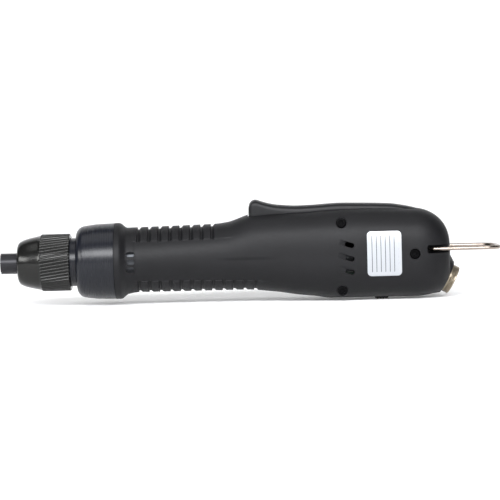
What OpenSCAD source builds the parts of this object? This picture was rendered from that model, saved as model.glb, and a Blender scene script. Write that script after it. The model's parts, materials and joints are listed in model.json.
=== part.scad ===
// Electric torque screwdriver: lever start, two planetary stages, ball clutch set by a front nut.
// X runs along the spindle from the nose (0) to the tail, Z is up (lever side), the label side is -Y.

/* [Nose] */
// Outer radius of the bit sleeve
sleeve_r = 5.7; // [5.5:0.05:5.8]
// Length of the bit sleeve
sleeve_len = 14.2; // [13.6:0.1:14.6]
// How far the bit sleeve slides back to free a bit
sleeve_travel = 3; // [2.8:0.1:3.1]
// Radius of the spindle where the sleeve rides
spindle_r = 4.5; // [4.4:0.05:4.6]
// Hexagon socket, across the flats
hex_af = 6.35; // [6.2:0.05:6.4]
// Depth of the hexagon socket
hex_depth = 13; // [10:0.5:14]
// Radius of the two balls that hold the bit
lock_ball_r = 1.1; // [1:0.05:1.15]

/* [Torque nut] */
// Distance from the sleeve's mouth to the nut's front face
nut_x = 9.5; // [9:0.1:10]
// Length of the torque nut
nut_len = 29; // [28:0.5:31]
// Outer radius of the torque nut over its knurl
nut_r = 15.65; // [15.4:0.05:16.2]
// Number of flutes round the torque nut
nut_flutes = 56; // [40:1:60]
// Slant of the flutes
nut_slant = 8; // [0:1:12]
// How far the nut screws on from where it stands
nut_in = 2.7; // [2:0.1:2.9]
// How far the nut screws off from where it stands
nut_out = 4.5; // [3:0.1:4.5]

/* [Collar and clutch] */
// Neck left showing between the nut and the collar
neck_len = 3.5; // [3.2:0.1:5]
// Length of the anodised collar
collar_len = 19.5; // [19:0.1:22]
// Outer radius of the anodised collar
collar_r = 20.5; // [20:0.1:20.8]
// Outer radius of the threaded tube under the nut
tube_r = 12; // [11.9:0.05:12.1]
// Radius of the clutch balls
clutch_ball_r = 2; // [1.9:0.05:2.1]
// Number of clutch balls
clutch_ball_count = 6; // [4:1:8]
// How far the pressure plate lifts when the clutch lets go
clutch_lift = 1; // [0.6:0.1:1.2]
// Radius of the clutch spring's wire
clutch_wire_r = 0.95; // [0.8:0.05:1]
// Turns of the clutch spring
clutch_turns = 6; // [4:0.5:7]

/* [Gearbox] */
// Gear module of both planetary stages
gear_module = 0.6; // [0.58:0.01:0.61]
// Teeth of both sun gears
sun_teeth = 12; // [12:3:12]
// Teeth of the planet gears
planet_teeth = 15; // [15:3:15]
// Face width of the output stage's planets
output_gear_w = 7; // [5:0.5:7]
// Face width of the motor stage's planets
motor_gear_w = 5.5; // [4:0.5:5.5]
// Outer radius of the ring gear
ring_gear_r = 14.9; // [14.6:0.05:14.9]

/* [Motor] */
// Outer radius of the motor can
motor_r = 13.9; // [13.6:0.05:13.9]
// Length of the motor can
motor_len = 48; // [47:0.5:48.5]
// Radius of the motor shaft
motor_shaft_r = 1.5; // [1.3:0.05:1.6]

/* [Housing] */
// Length from the housing's front face to where its tail starts to round off
body_len = 164.5; // [163:0.5:166]
// Length of the rounded tail
tail_len = 20; // [19:0.5:21]
// Wall of the rear chamber
wall = 2.4; // [2.2:0.1:2.6]
// Gap between the two housing halves
seam_gap = 0.1; // [0.06:0.02:0.2]
// Distance from one finger groove to the next
groove_pitch = 5.75; // [5.5:0.05:5.8]
// Number of grooves on top
top_grooves = 8; // [5:1:8]
// Number of grooves underneath
bottom_grooves = 12; // [8:1:12]
// Depth of the grooves on top
top_groove_depth = 1.3; // [0.6:0.1:1.5]
// Depth of the grooves underneath
bottom_groove_depth = 0.9; // [0.5:0.1:1.3]
// Head radius of the housing screws
screw_head_r = 2.7; // [2.5:0.1:2.8]

/* [Lever and switches] */
// Half width of the start lever
lever_half_w = 7.5; // [7:0.1:7.8]
// Gap between the lever and its slot
lever_gap = 0.4; // [0.3:0.05:0.6]
// Radius of the lever's hinge pin
lever_pin_r = 1.5; // [1.3:0.1:1.6]
// How far the switch plunger moves under the lever
plunger_travel = 2.9; // [2.8:0.1:3.2]
// Travel of the reversing knob to each side
knob_travel = 1.8; // [1.2:0.1:1.9]

/* [Tail] */
// Angle of the connector below the tool's axis
connector_tilt = 27.4; // [24:0.2:30]
// Outer radius of the connector's threaded shell
connector_r = 8; // [7.8:0.05:8.1]
// How far the shell stands out of the housing
connector_out = 4.1; // [3:0.1:6]
// Radius of the hanging bail's wire
wire_r = 1; // [0.9:0.05:1.05]
// Distance from the bail's hinge to the middle of its bow
bail_reach = 37.8; // [34:0.1:44]
// Thickness of the rating label
label_t = 0.2; // [0.1:0.05:0.3]

/* [Hidden] */
$fn = 48;
over = 0.05;
run = 0.05;
face_gap = 0.1;

// ---------- places along the axis ----------
nut_front_wall = 5.5;
nut_back_x = nut_x + nut_len;
seat_x = nut_x + nut_front_wall + face_gap / 2;
tube_x = seat_x + nut_in + 0.45;
collar_x = nut_back_x + neck_len;
housing_x = collar_x + collar_len;
tube_bore_r = tube_r - 1.8;
chamber_r = tube_r + 0.5;
chamber_x = collar_x + 4.3;
seat_flange_len = 8.4;
spring_x = seat_x + seat_flange_len;
seat_bore_end = seat_x + nut_out + sleeve_travel + sleeve_len - seat_x + 0.6;
bush_len = 4.2;
seat_end = seat_bore_end + bush_len + 0.2;
bush_r = 6.9;
thrust_len = 1.8;
thrust_x = chamber_x - thrust_len;
plate_x = chamber_x + clutch_lift + 0.3;
plate_len = 2.6;
plate_back = plate_x + plate_len;
clutch_ball_x = plate_back + run + clutch_ball_r;
clutch_ball_circle = 8.5;
flange_x = clutch_ball_x - 1.55;
flange_len = 2.8;
cam_x = clutch_ball_x + clutch_ball_r - 0.35;
cam_len = 4.1;
gearbox_x = housing_x + 4.5;
cover_spigot = 5;
cover_flange = 1.2;
journal_r = 5;
shoulder_x = sleeve_len + 0.3;
spindle_front = 1;

// ---------- gears ----------
pressure_angle = 25;
backlash = 0.1;
ring_teeth = sun_teeth + 2 * planet_teeth;
gear_centre = gear_module * (sun_teeth + planet_teeth) / 2;
planet_count = 3;
output_carrier_x = gearbox_x + cover_flange + 0.3;
carrier_r = gear_module * ring_teeth / 2 - 1.2;
output_carrier_len = 3.7;
output_gear_x = output_carrier_x + output_carrier_len + 0.3;
motor_carrier_x = output_gear_x + output_gear_w + 0.8;
motor_carrier_len = 3;
motor_gear_x = motor_carrier_x + motor_carrier_len + 0.3;
output_pin_r = 1.5;
motor_pin_r = 1.2;
motor_x = motor_gear_x + motor_gear_w + 2.9;

// ---------- motor ----------
can_wall = 1.3;
end_cap_x = motor_x + motor_len;
end_cap_len = 7;
motor_back = end_cap_x + end_cap_len;
bulkhead_x = motor_back + 0.3;
rotor_r = 10.3;
core_x = motor_x + 7.5;
core_len = 26;
winding_len = 3.4;
commutator_x = core_x + core_len + 4.1;
commutator_len = 6;
commutator_r = 3.6;
shaft_end = motor_back + 2.5;
motor_bearing_r = 4;
motor_bearing_len = 3;
core_slots = 7;

// ---------- housing outline, as [distance behind the front face, size] ----------
flange_r = 20.9;
top_line = [
    [0, flange_r - 0.5], [0.4, flange_r], [4, flange_r], [8.5, 18.2], [14.5, 18.3], [56.5, 19.1],
    [63.5, 19.9], [68.5, 21.4], [72.5, 22.9], [76.5, 24.1], [84, 24.6], [103.5, 25],
    [120, 25.9], [136.5, 26.2], [152.5, 25.8], [body_len, 25.2]
];
bottom_line = [
    [0, flange_r - 0.5], [0.4, flange_r], [4, flange_r], [8.5, 18.2], [14.5, 17.5], [73.5, 17.5],
    [82.5, 18.2], [91.5, 19.2], [100.5, 20.7], [111, 21.9], [119.5, 23.1], [154.5, 23.2],
    [body_len, 23.3]
];
side_line = [
    [0, flange_r - 0.5], [0.4, flange_r], [4, flange_r], [8.5, 18.2], [14.5, 17.8], [60, 17.8],
    [80, 18.6], [105, 20.6], [125, 21.9], [150, 22], [body_len, 21.5]
];
square_line = [[0, 2], [14, 2], [60, 2.3], [110, 2.8], [body_len, 2.8]];
rear_flat = [7.3, 15.4, 8];
tail_x = housing_x + body_len;
tail_end = tail_x + tail_len;
first_groove_x = housing_x + 13.85;
groove_profile = [[0, 0], [0.15, 1], [1.05, 1], [2.35, 0]];
grip_end = first_groove_x + groove_pitch * bottom_grooves;
section_steps = 20;

function slope(line, i) = (line[i + 1][1] - line[i][1]) / (line[i + 1][0] - line[i][0]);
function tangent(line, i) =
    i == 0 ? slope(line, 0) :
    i == len(line) - 1 ? slope(line, i - 1) :
    let(before = slope(line, i - 1), after = slope(line, i))
    before * after <= 0 ? 0 : 2 * before * after / (before + after);

// Smooth line through [place, size] pairs that never overshoots them.
function smooth(u, line, i = 0) =
    i < len(line) - 2 && u > line[i + 1][0] ? smooth(u, line, i + 1) :
    let(
        span = line[i + 1][0] - line[i][0],
        s = min(1, max(0, (u - line[i][0]) / span)),
        s2 = s * s,
        s3 = s2 * s
    )
    (2 * s3 - 3 * s2 + 1) * line[i][1] + (s3 - 2 * s2 + s) * span * tangent(line, i)
    + (3 * s2 - 2 * s3) * line[i + 1][1] + (s3 - s2) * span * tangent(line, i + 1);

// Top, bottom and side half sizes and squareness of the housing at x.
function housing_sizes(x, inset) =
    let(
        u = min(x - housing_x, body_len),
        full = [smooth(u, top_line), smooth(u, bottom_line), smooth(u, side_line)],
        turn = x > tail_x ? asin(min(1, (x - tail_x) / (tail_len - inset))) : 0,
        sizes = [for (k = [0:2]) rear_flat[k] + (full[k] - rear_flat[k]) * cos(turn) - inset]
    )
    concat(sizes, [smooth(u, square_line)]);

function groove_share(x, count) =
    let(k = floor((x - first_groove_x) / groove_pitch + 0.001))
    k < 0 || k >= count ? 0 : lookup(x - first_groove_x - k * groove_pitch, groove_profile);
function groove_depth(x, angle) =
    angle > 40 ? top_groove_depth * groove_share(x, top_grooves) :
    angle < -40 ? bottom_groove_depth * groove_share(x, bottom_grooves) : 0;

// One point of the housing's skin; angle 90 is the top, 0 the -Y side, -90 the bottom.
function housing_point(x, angle, inset) =
    let(
        size = housing_sizes(x, inset),
        cut = inset > 0 ? 0 : groove_depth(x, angle),
        power = 2 / size[3],
        across = (size[2] - cut) * pow(abs(cos(angle)), power) * (cos(angle) < 0 ? 1 : -1),
        up = (sin(angle) > 0 ? size[0] - cut : size[1] - cut) * pow(abs(sin(angle)), power)
    )
    [x, across, sin(angle) > 0 ? up : -up];

// Half ring on the -Y side that closes on the seam.
function half_ring(x) = [
    for (k = [0:section_steps])
        let(p = housing_point(x, 90 - 180 * k / section_steps, 0))
        [p[0], min(p[1], -seam_gap / 2), p[2]]
];
function full_ring(x, inset, steps) = [for (k = [0:steps - 1]) housing_point(x, 90 - 360 * k / steps, inset)];

front_stations = [for (d = [0, 0.4, 4, 6.2, 8.5, 11.5]) housing_x + d];
groove_stations = [
    for (k = [0:bottom_grooves - 1]) for (p = groove_profile) first_groove_x + k * groove_pitch + p[0]
];
rear_steps = 13;
rear_stations = [for (k = [0:rear_steps]) grip_end + (tail_x - grip_end) * k / rear_steps];
tail_stations = [for (k = [1:9]) tail_x + tail_len * sin(10 * k)];
housing_stations = concat(front_stations, groove_stations, rear_stations, tail_stations);

// Solid skinned over a list of rings with the same number of points.
module skin(rings) {
    n = len(rings[0]);
    last = len(rings) - 1;
    sides = [
        for (i = [0:last - 1]) for (j = [0:n - 1]) for (half = [0, 1])
            half == 0 ?
                [i * n + j, (i + 1) * n + j, i * n + (j + 1) % n] :
                [(i + 1) * n + j, (i + 1) * n + (j + 1) % n, i * n + (j + 1) % n]
    ];
    caps = [[for (j = [0:n - 1]) j], [for (j = [n - 1:-1:0]) last * n + j]];
    polyhedron(points = [for (ring = rings) each ring], faces = concat(sides, caps), convexity = 6);
}

// ---------- shared shapes ----------
module disc(x0, x1, r) {
    translate([x0, 0, 0]) rotate([0, 90, 0]) cylinder(r = r, h = x1 - x0);
}
module ring(x0, x1, outer, inner) {
    difference() {
        disc(x0, x1, outer);
        disc(x0 - over, x1 + over, inner);
    }
}
// Turned solid from [x, radius] points.
module turned(points) {
    rotate([0, 90, 0]) rotate_extrude() polygon([for (p = points) [p[1], p[0]]]);
}
module around(count, start = 0) {
    for (i = [0:count - 1]) rotate([start + 360 * i / count, 0, 0]) children();
}
module cross_bar(x, z, y0, y1, r) {
    translate([x, y1, z]) rotate([90, 0, 0]) cylinder(r = r, h = y1 - y0);
}
module block(low, high) {
    translate(low) cube(high - low);
}
// Round-ended slot that runs along local X, cut along Y.
module slot_cut(length, height, y0, y1) {
    flat = (length - height) / 2;
    translate([0, y1, 0]) rotate([90, 0, 0]) linear_extrude(y1 - y0) union() {
        square([2 * flat, height], center = true);
        for (side = [-1, 1]) translate([side * flat, 0]) circle(d = height);
    }
}
// Coil along +X from 0 to length, drawn through the middle of its wire.
module coil(r, wire, length, turns, steps = 14, sides = 6) {
    reach = length - 2 * wire;
    skin([
        for (i = [0:steps * turns])
            let(turn = 360 * i / steps, x = wire + reach * i / (steps * turns))
            [for (j = [0:sides - 1])
                let(a = 360 * j / sides, rr = r + wire * cos(a))
                [x + wire * sin(a), rr * sin(turn), rr * cos(turn)]]
    ]);
}
// Round wire through a list of points, its rings square to the path.
module wire_run(path, r, sides = 6) {
    skin([
        for (i = [0:len(path) - 1])
            let(
                ahead = path[min(i + 1, len(path) - 1)] - path[max(i - 1, 0)],
                along = ahead / norm(ahead),
                side = cross(along, [0, 1, 0.01]) / norm(cross(along, [0, 1, 0.01])),
                up = cross(side, along)
            )
            [for (j = [0:sides - 1])
                path[i] + r * cos(360 * j / sides) * side - r * sin(360 * j / sides) * up]
    ]);
}

// ---------- gears ----------
function flank(base_r, r, half_angle) =
    let(roll = acos(min(1, base_r / r)))
    half_angle - (tan(roll) * 180 / PI - roll);
// Flat outline of a gear with its first tooth along +X; extra widens each tooth.
module gear_outline(teeth, addendum, dedendum, extra) {
    pitch_r = gear_module * teeth / 2;
    base_r = pitch_r * cos(pressure_angle);
    tip_r = pitch_r + addendum;
    root_r = pitch_r - dedendum;
    at_pitch = 90 / teeth + extra / pitch_r * 90 / PI + (tan(pressure_angle) * 180 / PI - pressure_angle);
    radii = [for (k = [0:3]) max(base_r, root_r) + (tip_r - max(base_r, root_r)) * k / 3];
    polygon([
        for (t = [0:teeth - 1])
            let(middle = 360 * t / teeth, foot = flank(base_r, radii[0], at_pitch))
            each concat(
                [root_r * [cos(middle - foot), sin(middle - foot)]],
                [for (r = radii) let(a = middle - flank(base_r, r, at_pitch)) r * [cos(a), sin(a)]],
                [for (k = [3:-1:0])
                    let(a = middle + flank(base_r, radii[k], at_pitch)) radii[k] * [cos(a), sin(a)]],
                [root_r * [cos(middle + foot), sin(middle + foot)]]
            )
    ]);
}
// External gear about the X axis; its first tooth points along +Z.
module spur(teeth, x, w, bore) {
    translate([x, 0, 0]) rotate([0, -90, 180]) linear_extrude(w) difference() {
        gear_outline(teeth, gear_module * 0.95, gear_module * 1.2, -backlash / 2);
        if (bore > 0) circle(r = bore);
    }
}
module planet(index, x, w, pin) {
    rotate([360 * index / planet_count, 0, 0]) translate([0, 0, gear_centre])
        spur(planet_teeth, x, w, pin + run);
}
module planet_pin_set(x0, x1, r) {
    around(planet_count) translate([0, 0, gear_centre]) disc(x0, x1, r);
}

// ---------- housing ----------
collar_flange_r = 17.5;
spigot_r = 15.5;
lever_x = housing_x + 75.1;
lever_pivot = [tail_x - 4, 21.5];
lever_end = tail_x + 2;
slot_floor = 16.5;
slot_half = lever_half_w + lever_gap;
screw_places = [[housing_x + 125, 18.4], [housing_x + 125, -18.4], [tail_x - 0.2, 0.8]];
screw_seats = [-15.8, -15.8, -17.5];
screw_r = 1.5;
boss_r = 3.2;
switch_x = housing_x + 96.5;
switch_size = [20, 6.4, 10];
switch_z = 8;
plunger_x = switch_x + 5;
switch_pin_x = [switch_x + 3, switch_x + 17];
board_x = housing_x + 95.5;
board_len = 64;
board_half_w = 14.5;
board_z = -9.6;
board_t = 1.6;
knob_x = tail_x - 21;
knob_len = 7.3;
knob_half_w = 2.6;
knob_low = -24.3;
reverse_low = -20.1;
shell_inner_r = connector_r - 0.15;
shell_back = -14;
face_x = tail_x + 18.7;
face_z = -13.6;
boss_len = 5.4;
boss_root_r = 13.1;
boss_face_r = 9.3;
bail_pivot = [tail_x + 9, 3];
bail_half_w = 16.5;
bail_bend = 2.5;
pocket_wall_y = 12.8;
bail_pin_y = 8.8;
vent_x = housing_x + 127.1;
vent_pitch = 7.2;

// Puts its children on the connector's axis: local +Z points out of the tail, 0 is the boss's face.
module on_connector() {
    translate([face_x, 0, face_z]) rotate([0, 90 + connector_tilt, 0]) children();
}
module connector_disc(s0, s1, r) {
    on_connector() translate([0, 0, s0]) cylinder(r = r, h = s1 - s0);
}

// What stands inside the rear chamber of one half: bosses, pins, ledges and the bail's pocket.
module chamber_features() {
    for (place = screw_places) cross_bar(place[0], place[1], -30, 0, boss_r);
    for (x = switch_pin_x) {
        cross_bar(x, switch_z + 2.5, -30, -switch_size[1] / 2 - face_gap, 2.6);
        cross_bar(x, switch_z + 2.5, -30, -0.2, 1.2);
    }
    cross_bar(lever_pivot[0], lever_pivot[1], -13, -slot_half, 2.6);
    for (x = [board_x + 4, board_x + board_len - 9])
        block([x, -30, board_z - 1.6], [x + 3, 2 - board_half_w, board_z + board_t + 1.6]);
    block([bail_pivot[0] - 5, -30, bail_pivot[1] - 4.6], [tail_end, bail_pin_y * -1 + 1, bail_pivot[1] + 4.6]);
    connector_disc(-4.5, -2, boss_face_r + 1.7);
}
module chamber() {
    start = bulkhead_x + 3.7;
    reach = tail_len - wall;
    difference() {
        skin([
            for (x = concat(
                [for (k = [0:6]) start + (tail_x - start) * k / 6],
                [for (k = [1:6]) tail_x + reach * sin(15 * k)]
            )) full_ring(x, wall, 20)
        ]);
        chamber_features();
    }
}
module bays() {
    disc(housing_x - 1, housing_x + 2.5, spigot_r + run);
    disc(housing_x + 2.5 - over, gearbox_x + 0.1, collar_flange_r + run);
    disc(housing_x, motor_x + 1.2, ring_gear_r + run);
    disc(motor_x, bulkhead_x, motor_r + 0.2);
    disc(bulkhead_x - over, bulkhead_x + 5, 6.5);
}
module lever_slot() {
    difference() {
        block([lever_x - lever_gap, -slot_half, slot_floor], [lever_end + lever_gap, slot_half, 40]);
        cross_bar(screw_places[0][0], screw_places[0][1], -30, 0, boss_r);
    }
}
module side_vents() {
    for (k = [-1:1]) translate([gearbox_x + 6, 0, 4.2 * k]) slot_cut(4.7, 2.8, -30, -13);
    for (k = [-1:1]) translate([vent_x, 0, vent_pitch * k]) rotate([0, 17.8, 0]) {
        slot_cut(9.4, 2.8, -30, -20.9);
        translate([2.1, 0, 0]) slot_cut(5.2, 2.8, -30, -17);
    }
}
module bail_pocket() {
    block([bail_pivot[0] - 2.5, -30, bail_pivot[1] - 2.2], [tail_end + 5, -pocket_wall_y, bail_pivot[1] + 2.2]);
    cross_bar(bail_pivot[0], bail_pivot[1], -30, -bail_pin_y + 0.2, wire_r + run);
}
module housing_half() {
    difference() {
        union() {
            skin([for (x = housing_stations) half_ring(x)]);
            intersection() {
                on_connector() translate([0, 0, -boss_len])
                    cylinder(r1 = boss_root_r, r2 = boss_face_r, h = boss_len);
                block([0, -30, -60], [400, -seam_gap / 2, 60]);
            }
        }
        chamber();
        bays();
        lever_slot();
        side_vents();
        bail_pocket();
        connector_disc(-20, 5, shell_inner_r + run);
        connector_disc(-7.9, -4.5, connector_r + 2.8);
        connector_disc(0, 12, 14);
        cross_bar(lever_pivot[0], lever_pivot[1], -12, 0, lever_pin_r + 0.02);
        block([knob_x - knob_travel - 0.3, -knob_half_w - 0.3, -30],
            [knob_x + knob_len + knob_travel + 0.3, 1, reverse_low - 0.02]);
        block([board_x - 0.3, -board_half_w - 0.3, board_z - 0.1],
            [board_x + board_len + 0.3, 1, board_z + board_t + 0.1]);
    }
}

module housing_left() {
    color("#26272a") difference() {
        housing_half();
        for (i = [0:2]) {
            cross_bar(screw_places[i][0], screw_places[i][1], -30, screw_seats[i], screw_head_r + 0.2);
            cross_bar(screw_places[i][0], screw_places[i][1], -30, 1, screw_r + 0.15);
        }
    }
}
module housing_right() {
    color("#26272a") difference() {
        mirror([0, 1, 0]) housing_half();
        for (place = screw_places) cross_bar(place[0], place[1], -1, 10, screw_r + 0.02);
    }
}
module housing_screws() {
    color("#141414") for (i = [0:2]) translate([screw_places[i][0], 0, screw_places[i][1]]) {
        difference() {
            cross_bar(0, 0, screw_seats[i] - 2.2, screw_seats[i], screw_head_r);
            translate([0, screw_seats[i] - 0.7, 0]) rotate([90, 30, 0]) cylinder(r = 1.45, h = 3, $fn = 6);
        }
        cross_bar(0, 0, screw_seats[i] - over, 9, screw_r);
    }
}

// ---------- collar and clutch ----------
module front_collar() {
    color("#34373f") difference() {
        turned([
            [tube_x, 0], [tube_x, tube_r - 0.4], [tube_x + 0.4, tube_r], [nut_back_x, tube_r],
            [nut_back_x, tube_r + 1.2], [collar_x, tube_r + 1.2], [collar_x, collar_r - 4.6],
            [collar_x + 0.5, collar_r - 3.2], [collar_x + 1.6, collar_r - 1.8], [collar_x + 3.5, collar_r - 0.9],
            [collar_x + 8, collar_r - 0.35], [collar_x + 11, collar_r], [housing_x - 0.5, collar_r],
            [housing_x, collar_r - 0.4], [housing_x, spigot_r], [housing_x + 2.5, spigot_r],
            [housing_x + 2.5, collar_flange_r], [gearbox_x, collar_flange_r], [gearbox_x, 0]
        ]);
        disc(tube_x - 1, chamber_x + over, tube_bore_r);
        disc(chamber_x, gearbox_x + 1, chamber_r);
    }
}
module torque_nut() {
    knurl_x = nut_x + 13;
    knurl_len = nut_back_x - knurl_x;
    color("#3a3b3e") difference() {
        turned([
            [nut_x, 0], [nut_x, nut_r - 6.2], [nut_x + 1, nut_r - 4.15], [nut_x + 3.1, nut_r - 3.05],
            [nut_x + 5.5, nut_r - 2.25], [nut_x + 10, nut_r - 1.15], [nut_x + 12.2, nut_r - 0.25],
            [nut_x + 13.5, nut_r], [nut_back_x - 0.6, nut_r], [nut_back_x, nut_r - 0.7], [nut_back_x, 0]
        ]);
        disc(nut_x - 1, nut_back_x, sleeve_r + 0.35);
        disc(seat_x - face_gap / 2, nut_back_x + 1, tube_r + 0.1);
        disc(nut_back_x - 4, nut_back_x + 1, tube_r + 1.4);
        around(nut_flutes) translate([knurl_x + knurl_len / 2, 0, nut_r + 0.32])
            rotate([0, 0, nut_slant]) rotate([0, 90, 0])
            cylinder(r = 0.75, h = knurl_len + 3, center = true, $fn = 16);
    }
}
module spring_seat() {
    color("silver") difference() {
        union() {
            disc(seat_x, spring_x, tube_bore_r - run * 2);
            disc(spring_x - over, seat_end, bush_r + 0.8);
        }
        disc(seat_x - 1, seat_bore_end, sleeve_r + 0.5);
        disc(seat_bore_end - over, seat_end + 1, bush_r);
    }
}
module front_bush() {
    color("goldenrod") ring(seat_bore_end, seat_end, bush_r, journal_r + run);
}
module clutch_spring() {
    color("lightgrey") translate([spring_x + 0.1, 0, 0])
        coil(tube_bore_r - 0.35 - clutch_wire_r, clutch_wire_r, thrust_x - spring_x - 0.2, clutch_turns, 14, 6);
}
module thrust_races() {
    color("silver") {
        ring(thrust_x, thrust_x + 0.45, tube_bore_r - 0.2, journal_r + 0.3);
        ring(thrust_x + thrust_len - 0.4, thrust_x + thrust_len, tube_bore_r - 0.2, journal_r + 0.3);
    }
}
module thrust_balls() {
    color("white") around(12) translate([thrust_x + 0.45 + 0.475, 0, (tube_bore_r + journal_r) / 2])
        sphere(r = 0.46);
}
module pressure_plate() {
    color("grey") difference() {
        union() {
            disc(plate_x, plate_back, chamber_r - 0.2);
            disc(chamber_x + run, plate_x + over, tube_bore_r - 0.4);
        }
        disc(plate_x - 5, plate_back + 1, journal_r + 0.15);
    }
}
module clutch_balls() {
    color("white") around(clutch_ball_count) translate([clutch_ball_x, 0, clutch_ball_circle])
        sphere(r = clutch_ball_r);
}
module clutch_cam() {
    color("dimgrey") difference() {
        disc(cam_x, cam_x + cam_len, chamber_r - 0.9);
        disc(cam_x - 1, cam_x + cam_len + 1, journal_r + 0.02);
        around(clutch_ball_count) translate([clutch_ball_x, 0, clutch_ball_circle])
            sphere(r = clutch_ball_r + run);
    }
}
module spindle() {
    color("silver") difference() {
        union() {
            disc(spindle_front, shoulder_x, spindle_r);
            disc(shoulder_x, flange_x + over, journal_r);
            disc(flange_x, flange_x + flange_len, chamber_r - 1.3);
            disc(flange_x + flange_len - over, cam_x + 3.5, 3);
        }
        disc(spindle_front - 1, spindle_front + hex_depth, hex_af / 2 - 0.3);
        translate([spindle_front - 1, 0, 0]) rotate([0, 90, 0])
            cylinder(r = hex_af / 2 / cos(30), h = hex_depth + 1, $fn = 6);
        ring(clip_x - 0.05, clip_x + clip_len + 0.05, spindle_r + 1, clip_bore_r - 0.02);
        around(2) translate([lock_ball_x, 0, 0]) cylinder(r = lock_ball_r + 0.06, h = spindle_r + 1);
        around(clutch_ball_count) translate([flange_x - 1, 0, clutch_ball_circle]) rotate([0, 90, 0])
            cylinder(r = clutch_ball_r + 0.05, h = flange_len + 2);
    }
}
clip_x = 1.7;
clip_len = 0.7;
clip_bore_r = spindle_r - 0.3;
lip_x = clip_x + clip_len + 0.25;
lip_len = 4.8;
lock_ball_x = lip_x + 1.7;
lock_ball_z = spindle_r - lock_ball_r;
sleeve_pocket_r = sleeve_r - 0.6;

module bit_lock_balls() {
    color("white") around(2) translate([lock_ball_x, 0, lock_ball_z]) sphere(r = lock_ball_r);
}
module bit_sleeve() {
    color("#2e2f31") difference() {
        turned([
            [0, 0], [0, sleeve_r - 0.5], [0.5, sleeve_r], [sleeve_len - 0.3, sleeve_r],
            [sleeve_len, sleeve_r - 0.3], [sleeve_len, 0]
        ]);
        disc(-1, sleeve_len + 1, spindle_r + run);
        disc(-1, lip_x, sleeve_pocket_r);
        disc(lip_x + lip_len, sleeve_len + 1, sleeve_pocket_r);
    }
}
module sleeve_spring() {
    wire = 0.22;
    start = lip_x + lip_len + 0.05;
    color("lightgrey") translate([start, 0, 0])
        coil(sleeve_pocket_r - wire - 0.02, wire, shoulder_x - start - 0.05, 5, 16, 4);
}
module sleeve_clip() {
    color("dimgrey") difference() {
        ring(clip_x, clip_x + clip_len, sleeve_pocket_r - 0.1, clip_bore_r);
        block([0, -0.8, -8], [5, 0.8, 0]);
    }
}

// ---------- gearbox ----------
bearing_r = 9.5;
module gearbox_cover() {
    color("lightsteelblue") difference() {
        union() {
            disc(gearbox_x - cover_spigot, gearbox_x + over, chamber_r - 0.1);
            disc(gearbox_x, gearbox_x + cover_flange, ring_gear_r - 0.1);
        }
        disc(gearbox_x - cover_spigot - 1, gearbox_x - 0.2, bearing_r + 0.02);
        disc(gearbox_x - 1, gearbox_x + cover_flange + 1, bearing_r - 2);
    }
}
module output_bearing() {
    middle = (bearing_r + journal_r) / 2;
    x0 = gearbox_x - cover_spigot + 0.2;
    x1 = gearbox_x - 0.3;
    color("silver") {
        ring(x0, x1, bearing_r, middle + 0.9);
        ring(x0, x1, middle - 0.9, journal_r + 0.02);
        ring(x0 + 0.6, x1 - 0.6, middle + 0.95, middle - 0.95);
    }
}
module ring_gear() {
    start = gearbox_x + cover_flange;
    pitch_r = gear_module * ring_teeth / 2;
    color("silver") difference() {
        disc(start, motor_x - 0.2, ring_gear_r);
        disc(start - 1, output_gear_x - 0.2, pitch_r - gear_module * 0.6);
        translate([output_gear_x - 0.2 - over, 0, 0]) rotate([0, -90, 180])
            linear_extrude(motor_x - output_gear_x + 1)
            gear_outline(ring_teeth, gear_module * 1.25, gear_module * 0.9, backlash / 2);
    }
}
module output_carrier() {
    color("grey") difference() {
        union() {
            disc(output_carrier_x, output_carrier_x + output_carrier_len, carrier_r);
            disc(cam_x + 0.4, output_carrier_x + over, journal_r);
        }
        disc(cam_x, cam_x + 4.2, 3 + run);
        planet_pin_set(output_carrier_x + 0.7, output_gear_x, output_pin_r);
    }
}
module output_planet_1() {
    color("goldenrod") planet(0, output_gear_x, output_gear_w, output_pin_r);
}
module output_planet_2() {
    color("goldenrod") planet(1, output_gear_x, output_gear_w, output_pin_r);
}
module output_planet_3() {
    color("goldenrod") planet(2, output_gear_x, output_gear_w, output_pin_r);
}
module output_planet_pins() {
    color("silver") planet_pin_set(output_carrier_x + 0.7, output_gear_x + output_gear_w + 0.3, output_pin_r);
}
module motor_stage_carrier() {
    color("grey") difference() {
        union() {
            disc(motor_carrier_x, motor_carrier_x + motor_carrier_len, carrier_r);
            spur(sun_teeth, output_gear_x + 0.1, motor_carrier_x - output_gear_x - 0.1 + over, 0);
        }
        planet_pin_set(motor_carrier_x + 0.5, motor_gear_x, motor_pin_r);
    }
}
module motor_planet_1() {
    color("goldenrod") planet(0, motor_gear_x, motor_gear_w, motor_pin_r);
}
module motor_planet_2() {
    color("goldenrod") planet(1, motor_gear_x, motor_gear_w, motor_pin_r);
}
module motor_planet_3() {
    color("goldenrod") planet(2, motor_gear_x, motor_gear_w, motor_pin_r);
}
module motor_planet_pins() {
    color("silver") planet_pin_set(motor_carrier_x + 0.5, motor_gear_x + motor_gear_w + 0.5, motor_pin_r);
}
module motor_pinion() {
    color("silver") spur(sun_teeth, motor_gear_x, motor_gear_w + 0.5, motor_shaft_r + 0.02);
}

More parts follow.
